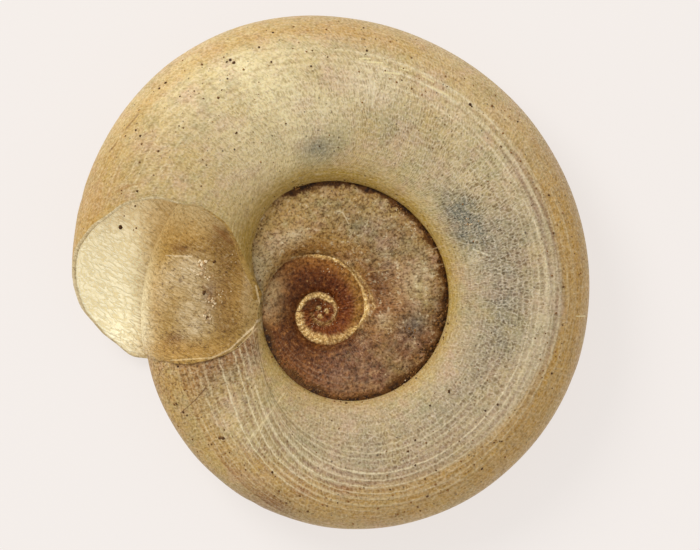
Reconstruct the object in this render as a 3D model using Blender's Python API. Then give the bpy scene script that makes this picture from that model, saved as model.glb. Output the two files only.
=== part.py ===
"""Ramshorn snail shell: one hollow coil of about four whorls, lying with its wide open pit up.

The shell is a single body. Its section grows round a standing axis, each whorl resting on the
one before it, and its hollow runs back from the mouth for more than a turn. The last stretch
turns in and climbs over the whorl before it, and the mouth is cut off on a sloping plane.

Angles are degrees along the coil: each turn adds 360, and the mouth lies round MOUTH. A place
on a section is a number from 0 to 4: 0 is the upper seam, 1 the crest, 2 the outer edge, 3 the
lowest line and 4 the under seam.
"""

import math
from dataclasses import dataclass, replace
from functools import lru_cache

import bmesh
import bpy
from mathutils import Vector

MM = 0.001

# The coil
START = -180.0                   # where the first open whorl leaves the nucleus
MOUTH = 900.0                    # nominal angle of the mouth
YOUNG_REACH = 0.676              # mm, edge radius of the young spiral at angle 0
YOUNG_GROWTH = 2.55              # times larger for each turn
GROWN_REACH = 2.935              # mm, edge radius of the grown spiral at angle 720
GROWN_GROWTH = 1.843             # times larger for each turn
CHANGE_OF_PACE = (300.0, 600.0)  # the young spiral passes into the grown one
POLE_MOVES = (360.0, 560.0)      # the centre of the spiral drifts over these angles
EDGE_POLE = (0.159, 0.026)       # mm, where the outer edge's centre drifts to
SEAM_POLE = (0.225, 0.081)       # mm, where the upper seam's centre drifts to
PIT_RATIO = (0.285, 0.421)       # upper seam radius to spiral radius, young and grown
UNDER_PIT_RATIO = (0.31, 0.46)   # under seam radius to spiral radius, young and grown
PIT_WIDENS = (389.0, 574.0)      # the pits widen over these angles
TURN_IN_RATE = 0.01462           # mm for each degree, inward, close to the mouth
TURN_IN_FROM = 833.5             # the angle where it starts
TURN_IN_EASE = 9.35              # degrees, how softly it starts
UNDER_SEAM_SLIP = 0.25           # of the turn-in, outward, by the under seam
CLIMB = 0.1                      # of the turn-in, upward, by the whole section

# The section
HEIGHT_RATIO = 0.444             # whorl height to spiral radius
PLANE_HEIGHT = 0.56              # mm, middle height of the young whorls over the ground
PLANE_EASE = 0.05                # mm, rounds the change to the whorls that reach the ground
CREST_PLACE = 0.58               # of the whorl's width from the upper seam
LOW_PLACE = (0.6, 0.12)          # of the whorl's width from the under seam: coil, mouth
LEAST_STEP = 0.03                # mm, between one seam and the next

# Walls
WALL = 0.055                     # mm, thickness of the whorl's wall
CALLUS = 0.03                    # mm, glaze laid on the whorl before
CORNER_FILL = 0.12               # mm, filled width where wall and glaze meet
CORNER_SHARE = 0.16              # the same, as a share of a small whorl's height

# The mouth
MOUTH_TOP = (1.297, 1.70)        # mm, back from the coil's axis and height over the ground
MOUTH_SLOPE = 0.875              # fall for each mm toward the whorl's front
INNER_TONGUE = 18.0              # degrees that the lip runs on where it meets the upper seam
TONGUE_ENDS = 0.8                # the place on the section where it has faded out
CALLUS_REACH = 14.0              # degrees that the glaze spreads past the mouth
MOUTH_EASE = 200.0               # degrees over which the growth lines take the mouth's slope
CALLUS_EASE = 120.0              # degrees in front of the glaze where they lose it again

# How finely it is divided
PER_TURN = 36
AROUND = 24                      # steps round a whole section
UPPER_LINE = 5                   # the step where the next whorl's upper seam lies
UNDER_LINE = 19                  # the step where its under seam lies
HOLLOW_FROM = 330.0              # the hollow's closed end
SHARP_FROM = 45.0                # degrees, edges bent more than this are drawn sharp

STEP = 360.0 / PER_TURN
LAST = round((MOUTH - START) / STEP)
MOUTH_FOOT = LAST - PER_TURN     # the column that the mouth's glaze ends on
HOLLOW_FIRST = round((HOLLOW_FROM - START) / STEP)


def ramp(value, low, high):
    """Rise smoothly from 0 at low to 1 at high."""
    t = min(1.0, max(0.0, (value - low) / (high - low)))
    return t * t * (3.0 - 2.0 * t)


def mix(first, second, share):
    return first + (second - first) * share


def solve(gap, low, high):
    """The place between low and high where gap changes from negative to positive."""
    for _ in range(48):
        middle = 0.5 * (low + high)
        if gap(middle) < 0.0:
            low = middle
        else:
            high = middle
    return 0.5 * (low + high)


def spiral(angle):
    """Radius of the growth spiral about its own centre, in mm."""
    young = YOUNG_REACH * YOUNG_GROWTH ** (angle / 360.0)
    grown = GROWN_REACH * GROWN_GROWTH ** ((angle - 720.0) / 360.0)
    return mix(young, grown, ramp(angle, *CHANGE_OF_PACE))


def drift(angle, pole):
    """How far a drifted centre moves a point out along the ray at this angle."""
    ray = math.radians(angle)
    reach = pole[0] * math.cos(ray) + pole[1] * math.sin(ray)
    return reach * ramp(angle, *POLE_MOVES)


def turn_in(angle):
    """How far the end of the coil has turned in, in mm."""
    past = (angle - TURN_IN_FROM) / TURN_IN_EASE
    softened = past + math.log1p(math.exp(-past)) if past > 0.0 else math.log1p(math.exp(past))
    return TURN_IN_RATE * TURN_IN_EASE * softened


def edge_radius(angle):
    return spiral(angle) + drift(angle, EDGE_POLE) - turn_in(angle)


def seam_radius(angle):
    """Radius of the upper seam, never quite reaching the seam of the whorl before."""
    ratio = mix(*PIT_RATIO, ramp(angle, *PIT_WIDENS))
    radius = ratio * spiral(angle) + drift(angle, SEAM_POLE) - turn_in(angle)
    if angle > TURN_IN_FROM:
        radius = max(radius, seam_radius(angle - 360.0) + LEAST_STEP)
    return radius


def under_seam_radius(angle):
    ratio = mix(*UNDER_PIT_RATIO, ramp(angle, *PIT_WIDENS))
    slip = UNDER_SEAM_SLIP * turn_in(angle)
    return ratio * spiral(angle) + drift(angle, EDGE_POLE) + slip


def heights(angle):
    """Heights over the ground of the lowest line, the middle and the crest, in mm."""
    half = 0.5 * HEIGHT_RATIO * spiral(angle)
    apart = math.hypot(PLANE_HEIGHT - half, PLANE_EASE)
    middle = 0.5 * (PLANE_HEIGHT + half + apart) + CLIMB * turn_in(angle)
    return middle - half, middle, middle + half


@dataclass(frozen=True)
class Section:
    """A whorl's outline in the upright half plane at one angle: four quarter ovals, in mm."""

    seam: float
    crest: float
    edge: float
    low: float
    under_seam: float
    seam_height: float
    top: float
    middle: float
    under: float
    under_seam_height: float

    def at(self, place, wall=0.0):
        """Radius and height at a place, set in from the outline by a wall."""
        quarter = min(3, int(place))
        turn = (place - quarter) * math.pi / 2.0
        across, along = math.sin(turn), math.cos(turn)
        top, edge, under = self.top - wall, self.edge - wall, self.under + wall
        if quarter == 0:
            return (self.crest - (self.crest - self.seam) * along,
                    self.seam_height + (top - self.seam_height) * across)
        if quarter == 1:
            return (self.crest + (edge - self.crest) * across,
                    self.middle + (top - self.middle) * along)
        if quarter == 2:
            return (self.low + (edge - self.low) * along,
                    self.middle - (self.middle - under) * across)
        return (self.low - (self.low - self.under_seam) * across,
                self.under_seam_height - (self.under_seam_height - under) * along)

    def beside(self, place, distance):
        """The point at a place, moved out of the whorl square to its outline."""
        radius, height = self.at(place)
        small = 0.01
        before = self.at(max(0.0, place - small))
        after = self.at(min(4.0, place + small))
        along_r, along_h = after[0] - before[0], after[1] - before[1]
        length = math.hypot(along_r, along_h)
        return radius - along_h / length * distance, height + along_r / length * distance

    def upper_place(self, radius):
        """The place on the upper side at a radius."""
        if radius < self.crest:
            return math.acos(min(1.0, (self.crest - radius) / (self.crest - self.seam))) / (math.pi / 2)
        return 1.0 + math.asin(min(1.0, (radius - self.crest) / (self.edge - self.crest))) / (math.pi / 2)

    def under_place(self, radius):
        """The place on the under side at a radius."""
        if radius > self.low:
            return 2.0 + math.acos(min(1.0, (radius - self.low) / (self.edge - self.low))) / (math.pi / 2)
        return 3.0 + math.asin(min(1.0, (self.low - radius) / (self.low - self.under_seam))) / (math.pi / 2)


@lru_cache(maxsize=None)
def section(angle):
    """The whorl's outline at an angle, its seams lying on the whorl before."""
    seam, edge, under_seam = seam_radius(angle), edge_radius(angle), under_seam_radius(angle)
    under, middle, top = heights(angle)
    low_place = mix(*LOW_PLACE, ramp(angle, MOUTH - MOUTH_EASE, MOUTH))
    if angle < START + 360.0:
        under_seam_height, _, seam_height = heights(angle - 360.0)
    else:
        before = section(angle - 360.0)
        seam_height = before.at(before.upper_place(seam))[1]
        under_seam_height = before.at(before.under_place(under_seam))[1]
    return Section(seam, mix(seam, edge, CREST_PLACE), edge, mix(under_seam, edge, low_place),
                   under_seam, seam_height, top, middle, under, under_seam_height)


def placed(angle, radius, height):
    """A point in metres from its angle and its radius and height in mm."""
    ray = math.radians(angle)
    return Vector((radius * math.cos(ray), radius * math.sin(ray), height)) * MM


def even_place(line):
    return 4.0 * line / AROUND


@lru_cache(maxsize=None)
def mouth_lag(line):
    """How far past MOUTH a line along the coil meets the mouth's sloping plane, in degrees."""
    def over_plane(angle):
        radius, height = section(angle).at(even_place(line))
        forward = MOUTH_TOP[0] - radius * math.sin(math.radians(angle))
        return height - (MOUTH_TOP[1] - MOUTH_SLOPE * forward)
    tongue = max(0.0, 1.0 - even_place(line) / TONGUE_ENDS) ** 2
    return solve(over_plane, MOUTH - 90.0, MOUTH + 60.0) - MOUTH + INNER_TONGUE * tongue


def foot_lag(line):
    """The same for the line where the mouth's glaze ends on the whorl before."""
    first, last = mouth_lag(0), mouth_lag(AROUND)
    if line <= UPPER_LINE:
        return first * line / UPPER_LINE
    if line >= UNDER_LINE:
        return last * (AROUND - line) / (AROUND - UNDER_LINE)
    share = (line - UPPER_LINE) / (UNDER_LINE - UPPER_LINE)
    return mix(first, last, 1.0 - (1.0 - share) ** 5) + CALLUS_REACH * math.sin(math.pi * share)


def angle_at(column, line):
    """The true angle where a column crosses a line: columns lean to follow the mouth."""
    nominal = START + STEP * column
    foot = MOUTH - 360.0
    lean = ramp(nominal, MOUTH - MOUTH_EASE, MOUTH)
    foot_lean = ramp(nominal, foot - MOUTH_EASE, foot) * (1.0 - ramp(nominal, foot, foot + CALLUS_EASE))
    return nominal + lean * mouth_lag(line) + foot_lean * foot_lag(line)


def seam_places(column):
    """The places on a column's section where the next whorl's two seams lie."""
    within = min(column, MOUTH_FOOT)
    upper_angle, under_angle = angle_at(within, UPPER_LINE), angle_at(within, UNDER_LINE)
    upper = section(upper_angle).upper_place(seam_radius(upper_angle + 360.0))
    under = section(under_angle).under_place(under_seam_radius(under_angle + 360.0))
    opened = ramp(column, MOUTH_FOOT, MOUTH_FOOT + CALLUS_EASE / STEP)
    return mix(upper, even_place(UPPER_LINE), opened), mix(under, even_place(UNDER_LINE), opened)


def place_at(column, line):
    """The place on a column's section of one of the lines along the coil."""
    upper, under = seam_places(column)
    if line <= UPPER_LINE:
        return upper * line / UPPER_LINE
    if line <= UNDER_LINE:
        return mix(upper, under, (line - UPPER_LINE) / (UNDER_LINE - UPPER_LINE))
    return mix(under, 4.0, (line - UNDER_LINE) / (AROUND - UNDER_LINE))


def outside_point(column, line):
    angle = angle_at(column, line)
    return placed(angle, *section(angle).at(place_at(column, line)))


@lru_cache(maxsize=None)
def corner(angle, upper):
    """The hollow's upper or under corner: its place on the whorl before, radius and height."""
    outline, before = section(angle), section(angle - 360.0)
    fill = min(CORNER_FILL, CORNER_SHARE * (outline.top - outline.under))

    def upper_gap(place):
        radius, height = before.at(place)
        rise = max(0.0, height - outline.seam_height) / (outline.top - outline.seam_height)
        turn = math.asin(min(1.0, rise)) / (math.pi / 2.0)
        return radius - outline.at(min(turn, 0.999))[0] - fill

    def under_gap(place):
        radius, height = before.at(place)
        floor = outline.at(outline.under_place(max(radius, outline.under_seam)))[1]
        return fill - (height - floor)

    if upper:
        place = solve(upper_gap, before.upper_place(outline.seam), 2.0)
    else:
        place = solve(under_gap, 2.0, before.under_place(outline.under_seam))
    return place, *before.beside(place, CALLUS)


def hollow_outline(angle):
    """The hollow's own outline, its seams moved to its corners."""
    outline = section(angle)
    _, upper_radius, upper_height = corner(angle, True)
    _, under_radius, under_height = corner(angle, False)
    return replace(outline, seam=upper_radius, seam_height=upper_height,
                   under_seam=under_radius, under_seam_height=under_height)


def hollow_ring(column):
    """One ring of the hollow: round inside the wall, then back along the whorl before."""
    ring = []
    for line in range(AROUND + 1):
        angle = angle_at(column, line)
        ring.append(placed(angle, *hollow_outline(angle).at(place_at(column, line), WALL)))
    for line in range(UNDER_LINE - 1, UPPER_LINE, -1):
        share = (line - UPPER_LINE) / (UNDER_LINE - UPPER_LINE)
        angle = angle_at(column - PER_TURN, line)
        place = mix(corner(angle + 360.0, True)[0], corner(angle + 360.0, False)[0], share)
        ring.append(placed(angle, *section(angle).beside(place, CALLUS)))
    return ring


def join_rings(mesh, first, second, closed):
    """Skin two rows of points with four-sided faces."""
    count = len(first)
    for k in range(count if closed else count - 1):
        after = (k + 1) % count
        mesh.faces.new((first[k], first[after], second[after], second[k]))


def close_with_fan(mesh, loop, centre):
    hub = mesh.verts.new(centre)
    for k, vertex in enumerate(loop):
        mesh.faces.new((vertex, loop[(k + 1) % len(loop)], hub))


def outside_columns(mesh):
    """The points of every column; a seam point is the same one as on the whorl before."""
    columns = []
    for column in range(LAST + 1):
        points = {}
        for line in range(AROUND + 1):
            covered = column < MOUTH_FOOT and UPPER_LINE < line < UNDER_LINE
            if covered:
                continue
            if line in (0, AROUND) and column >= PER_TURN:
                shared = UPPER_LINE if line == 0 else UNDER_LINE
                points[line] = columns[column - PER_TURN][shared]
            else:
                points[line] = mesh.verts.new(outside_point(column, line))
        columns.append(points)
    return columns


def nucleus_loop(columns, line, seam_line):
    """The edge left round the nucleus: one turn of seam, and the first column's short side."""
    side = range(seam_line, line, -1 if seam_line > line else 1)
    return [columns[k][line] for k in range(PER_TURN)] + [columns[0][k] for k in side]


def build_outside(mesh):
    columns = outside_columns(mesh)
    for column in range(LAST):
        here, after = columns[column], columns[column + 1]
        if column < MOUTH_FOOT:
            runs = (range(0, UPPER_LINE + 1), range(UNDER_LINE, AROUND + 1))
        else:
            runs = (range(0, AROUND + 1),)
        for run in runs:
            join_rings(mesh, [here[k] for k in run], [after[k] for k in run], closed=False)
    under, _, top = heights(START - 180.0)
    aside = 0.5 * seam_radius(START)
    for line, seam_line, height in ((0, UPPER_LINE, top), (AROUND, UNDER_LINE, under)):
        close_with_fan(mesh, nucleus_loop(columns, line, seam_line), Vector((0.0, aside, height)) * MM)
    return columns


def build_hollow(mesh):
    """Skin the hollow from its closed end to the mouth and return its last ring."""
    rings = [[mesh.verts.new(point) for point in hollow_ring(column)]
             for column in range(HOLLOW_FIRST, LAST + 1)]
    for first, second in zip(rings, rings[1:]):
        join_rings(mesh, first, second, closed=True)
    end = section(angle_at(HOLLOW_FIRST, 0))
    close_with_fan(mesh, rings[0], placed(HOLLOW_FROM, mix(end.seam, end.edge, 0.75), end.middle))
    return rings[-1]


def build_lip(mesh, columns, hollow_end):
    """Join the outside's mouth edge to the hollow: the lip, then the foot of the glaze."""
    foot = columns[MOUTH_FOOT]
    edge = [columns[LAST][line] for line in range(AROUND + 1)]
    edge += [foot[line] for line in range(UNDER_LINE - 1, UPPER_LINE, -1)]
    join_rings(mesh, edge, hollow_end, closed=True)


def rest_on_origin(mesh):
    """Put the middle of the shell's box over the origin and its lowest point on the ground."""
    spans = [[vertex.co[axis] for vertex in mesh.verts] for axis in range(3)]
    middle = [0.5 * (min(span) + max(span)) for span in spans]
    bmesh.ops.translate(mesh, verts=mesh.verts, vec=(-middle[0], -middle[1], -min(spans[2])))


def horn_material():
    """Thin horn-coloured lime, with a soft gloss."""
    material = bpy.data.materials.new("horn_lime")
    material.use_nodes = True
    shader = material.node_tree.nodes["Principled BSDF"]
    shader.inputs["Base Color"].default_value = (0.47, 0.35, 0.19, 1.0)
    shader.inputs["Roughness"].default_value = 0.42
    shader.inputs["Metallic"].default_value = 0.0
    return material


def build_shell(collection):
    mesh = bmesh.new()
    columns = build_outside(mesh)
    build_lip(mesh, columns, build_hollow(mesh))
    rest_on_origin(mesh)
    bmesh.ops.recalc_face_normals(mesh, faces=mesh.faces)
    data = bpy.data.meshes.new("shell")
    mesh.to_mesh(data)
    mesh.free()
    data.shade_smooth()
    data.set_sharp_from_angle(angle=math.radians(SHARP_FROM))
    data.materials.append(horn_material())
    shell = bpy.data.objects.new("shell", data)
    collection.objects.link(shell)
    return shell


def main():
    for old in list(bpy.data.objects):
        bpy.data.objects.remove(old, do_unlink=True)
    collection = bpy.data.collections.new("ramshorn_snail_shell")
    bpy.context.scene.collection.children.link(collection)
    build_shell(collection)


main()
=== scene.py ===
"""The looks of a ramshorn snail shell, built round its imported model.

The shell is skinned again as one fine closed mesh, by the same growth law as its solid: a coil of
about four whorls with a hollow that runs back from the mouth. Its relief, its rounded lip and its
glaze are geometry, and its colours follow the coil: old whorls are dark and rusty, new growth is
pale straw, and the inside of the mouth is cream. Dust and small crystals lie on it as grains.

Angles are degrees along the coil: each turn adds 360, and the mouth lies round 900. A course is a
line along the coil, from 0 at the upper seam over 1 at the crest, 2 at the outer edge and 3 at
the lowest line to 4 at the under seam. Lengths are millimetres until a mesh is made.
"""

import logging
import math
from dataclasses import dataclass, field, replace
from enum import StrEnum, auto
from functools import cached_property, reduce
from typing import Callable

import bmesh
import bpy
import numpy as np
from mathutils import Matrix, Vector
from mathutils.bvhtree import BVHTree


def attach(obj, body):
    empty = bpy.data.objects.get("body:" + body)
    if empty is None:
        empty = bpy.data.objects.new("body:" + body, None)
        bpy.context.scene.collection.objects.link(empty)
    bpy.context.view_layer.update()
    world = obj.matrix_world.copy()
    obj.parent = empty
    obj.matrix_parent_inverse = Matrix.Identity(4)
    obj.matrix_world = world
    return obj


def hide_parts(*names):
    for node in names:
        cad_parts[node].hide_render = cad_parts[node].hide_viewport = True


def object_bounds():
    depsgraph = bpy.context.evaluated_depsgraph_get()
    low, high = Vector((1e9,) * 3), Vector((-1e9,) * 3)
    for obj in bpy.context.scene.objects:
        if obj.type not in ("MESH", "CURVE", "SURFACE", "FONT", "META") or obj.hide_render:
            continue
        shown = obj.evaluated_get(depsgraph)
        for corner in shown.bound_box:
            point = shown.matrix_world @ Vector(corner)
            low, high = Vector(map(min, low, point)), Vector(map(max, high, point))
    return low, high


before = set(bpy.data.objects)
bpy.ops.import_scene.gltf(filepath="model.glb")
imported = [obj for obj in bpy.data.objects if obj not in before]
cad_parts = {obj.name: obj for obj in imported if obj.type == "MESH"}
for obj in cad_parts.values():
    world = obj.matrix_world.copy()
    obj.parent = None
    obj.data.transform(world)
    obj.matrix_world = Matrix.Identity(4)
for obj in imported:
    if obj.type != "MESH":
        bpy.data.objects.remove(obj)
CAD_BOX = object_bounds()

Array = np.ndarray
Pair = tuple[float, float]
Colour = tuple[float, float, float]  # display values from 0 to 255
Values = dict[str, Array]  # what points or corners carry, by name
Waves = tuple[tuple[float, float, float], ...]  # the rate, the shift and the share of each
Socket = bpy.types.NodeSocket
Sockets = dict[str, Socket]
Feed = Socket | float | tuple  # what a node's input takes
LOG = logging.getLogger("ramshorn")

MM = 0.001
QUARTER = math.pi / 2.0


def ramp(value: Array, low: float, high: float) -> Array:
    """Rise smoothly from 0 at low to 1 at high."""
    t = np.clip((value - low) / (high - low), 0.0, 1.0)
    return t * t * (3.0 - 2.0 * t)


def window(value: Array, low: float, high: float, soft: float) -> Array:
    """Be 1 between low and high, and fade to 0 over a soft distance outside them."""
    return ramp(value, low - soft, low) * (1.0 - ramp(value, high, high + soft))


def mix(first: Array, second: Array, share: Array) -> Array:
    """Go from first to second as share goes from 0 to 1."""
    return first + (second - first) * share


def ripple(place: Array, waves: Waves) -> Array:
    """Add up some sine waves."""
    return sum(share * np.sin(rate * place + shift) for rate, shift, share in waves)


def part_of(values: Values, at: slice | tuple | int) -> Values:
    """What some of the points carry."""
    return {name: value[at] for name, value in values.items()}


def srgb(colour: Colour) -> tuple[float, float, float, float]:
    """Turn display values from 0 to 255 into linear light, fully opaque."""
    parts = [part / 255.0 for part in colour]
    return (*(p / 12.92 if p <= 0.04045 else ((p + 0.055) / 1.055) ** 2.4 for p in parts), 1.0)


def placed(name: str, data: bpy.types.ID) -> bpy.types.Object:
    """Make a new object in the scene."""
    item = bpy.data.objects.new(name, data)
    bpy.context.scene.collection.objects.link(item)
    return item


def solve(gap: Callable[[Array], Array], low: Array, high: Array) -> Array:
    """Find where gap changes from negative to positive.

    Args:
        gap: a function that rises from below 0 at low to above 0 at high.
        low: where each search starts.
        high: where each search ends.

    Returns:
        The place of each change of sign.
    """
    for _ in range(40):
        middle = 0.5 * (low + high)
        short = gap(middle) < 0.0
        low, high = np.where(short, middle, low), np.where(short, high, middle)
    return 0.5 * (low + high)


@dataclass(frozen=True)
class GrowthLaw:
    """How the coil widens, drifts and turns in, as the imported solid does."""

    start: float = -180.0
    mouth: float = 900.0
    young_reach: float = 0.676
    young_growth: float = 2.55
    grown_reach: float = 2.935
    grown_growth: float = 1.843
    change_of_pace: Pair = (300.0, 600.0)
    pole_moves: Pair = (360.0, 560.0)
    edge_pole: Pair = (0.159, 0.026)
    seam_pole: Pair = (0.225, 0.081)
    pit_ratio: Pair = (0.285, 0.421)
    under_pit_ratio: Pair = (0.31, 0.46)
    pit_widens: Pair = (389.0, 574.0)
    turn_in_rate: float = 0.01462
    turn_in_from: float = 833.5
    turn_in_ease: float = 9.35
    under_seam_slip: float = 0.25
    climb: float = 0.1
    height_ratio: float = 0.444
    plane_height: float = 0.56
    plane_ease: float = 0.05
    least_step: float = 0.03

    def spiral(self, angle: Array) -> Array:
        """Radius of the growth spiral about its own centre."""
        young = self.young_reach * self.young_growth ** (angle / 360.0)
        grown = self.grown_reach * self.grown_growth ** ((angle - 720.0) / 360.0)
        return mix(young, grown, ramp(angle, *self.change_of_pace))

    def drift(self, angle: Array, pole: Pair) -> Array:
        """How far a drifted centre moves a point out along the ray at this angle."""
        ray = np.radians(angle)
        return (pole[0] * np.cos(ray) + pole[1] * np.sin(ray)) * ramp(angle, *self.pole_moves)

    def turn_in(self, angle: Array) -> Array:
        """How far the end of the coil has turned in."""
        past = (angle - self.turn_in_from) / self.turn_in_ease
        return self.turn_in_rate * self.turn_in_ease * np.logaddexp(0.0, past)

    def edge(self, angle: Array) -> Array:
        """Radius of the outer edge."""
        return self.spiral(angle) + self.drift(angle, self.edge_pole) - self.turn_in(angle)

    def seam(self, angle: Array) -> Array:
        """Radius of the upper seam, kept clear of the seam of the whorl before."""
        def free(at: Array) -> Array:
            """Where the seam would run by itself."""
            ratio = mix(*self.pit_ratio, ramp(at, *self.pit_widens))
            return ratio * self.spiral(at) + self.drift(at, self.seam_pole) - self.turn_in(at)
        held = np.maximum(free(angle), free(angle - 360.0) + self.least_step)
        return np.where(angle > self.turn_in_from, held, free(angle))

    def under_seam(self, angle: Array) -> Array:
        """Radius of the under seam."""
        ratio = mix(*self.under_pit_ratio, ramp(angle, *self.pit_widens))
        slip = self.under_seam_slip * self.turn_in(angle)
        return ratio * self.spiral(angle) + self.drift(angle, self.edge_pole) + slip

    def heights(self, angle: Array) -> tuple[Array, Array, Array]:
        """Heights of the lowest line, the middle and the crest."""
        half = 0.5 * self.height_ratio * self.spiral(angle)
        apart = np.hypot(self.plane_height - half, self.plane_ease)
        middle = 0.5 * (self.plane_height + half + apart) + self.climb * self.turn_in(angle)
        return middle - half, middle, middle + half


@dataclass
class Outline:
    """Whorl sections in the upright half plane, one for each angle: four quarter ovals."""

    seam: Array
    crest: Array
    edge: Array
    low: Array
    under_seam: Array
    seam_height: Array
    top: Array
    middle: Array
    under: Array
    under_seam_height: Array

    def at(self, place: Array, wall: float = 0.0) -> tuple[Array, Array]:
        """Find points of the sections.

        Args:
            place: from 0 at the upper seam to 4 at the under seam.
            wall: how far the section is set in.

        Returns:
            The radius and the height of each point.
        """
        quarter = np.clip(np.floor(place), 0, 3)
        turn = (place - quarter) * QUARTER
        across, along = np.sin(turn), np.cos(turn)
        top, edge, under = self.top - wall, self.edge - wall, self.under + wall
        parts = [quarter == k for k in range(4)]
        radius = np.select(parts, [
            self.crest - (self.crest - self.seam) * along,
            self.crest + (edge - self.crest) * across,
            self.low + (edge - self.low) * along,
            self.low - (self.low - self.under_seam) * across])
        height = np.select(parts, [
            self.seam_height + (top - self.seam_height) * across,
            self.middle + (top - self.middle) * along,
            self.middle - (self.middle - under) * across,
            self.under_seam_height - (self.under_seam_height - under) * along])
        return radius, height

    def beside(self, place: Array, distance: Array) -> tuple[Array, Array]:
        """Find points beside the sections.

        Args:
            place: from 0 at the upper seam to 4 at the under seam.
            distance: how far each point is moved square out of the whorl.

        Returns:
            The radius and the height of each point.
        """
        radius, height = self.at(place)
        small = 0.01
        before, after = self.at(np.maximum(0.0, place - small)), self.at(np.minimum(4.0, place + small))
        along_r, along_h = after[0] - before[0], after[1] - before[1]
        length = np.maximum(np.hypot(along_r, along_h), 1e-9)
        return radius - along_h / length * distance, height + along_r / length * distance

    def upper_place(self, radius: Array) -> Array:
        """The place on the upper side at a radius."""
        inner = np.arccos(np.clip((self.crest - radius) / (self.crest - self.seam), -1.0, 1.0))
        outer = np.arcsin(np.clip((radius - self.crest) / (self.edge - self.crest), -1.0, 1.0))
        return np.where(radius < self.crest, inner / QUARTER, 1.0 + outer / QUARTER)

    def under_place(self, radius: Array) -> Array:
        """The place on the under side at a radius."""
        outer = np.arccos(np.clip((radius - self.low) / (self.edge - self.low), -1.0, 1.0))
        inner = np.arcsin(np.clip((self.low - radius) / (self.low - self.under_seam), -1.0, 1.0))
        return np.where(radius > self.low, 2.0 + outer / QUARTER, 3.0 + inner / QUARTER)


@dataclass
class Lines:
    """Lines along the coil, with how far each runs past the mouth's and the glaze's angle."""

    course: Array
    mouth_lag: Array
    foot_lag: Array


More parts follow.
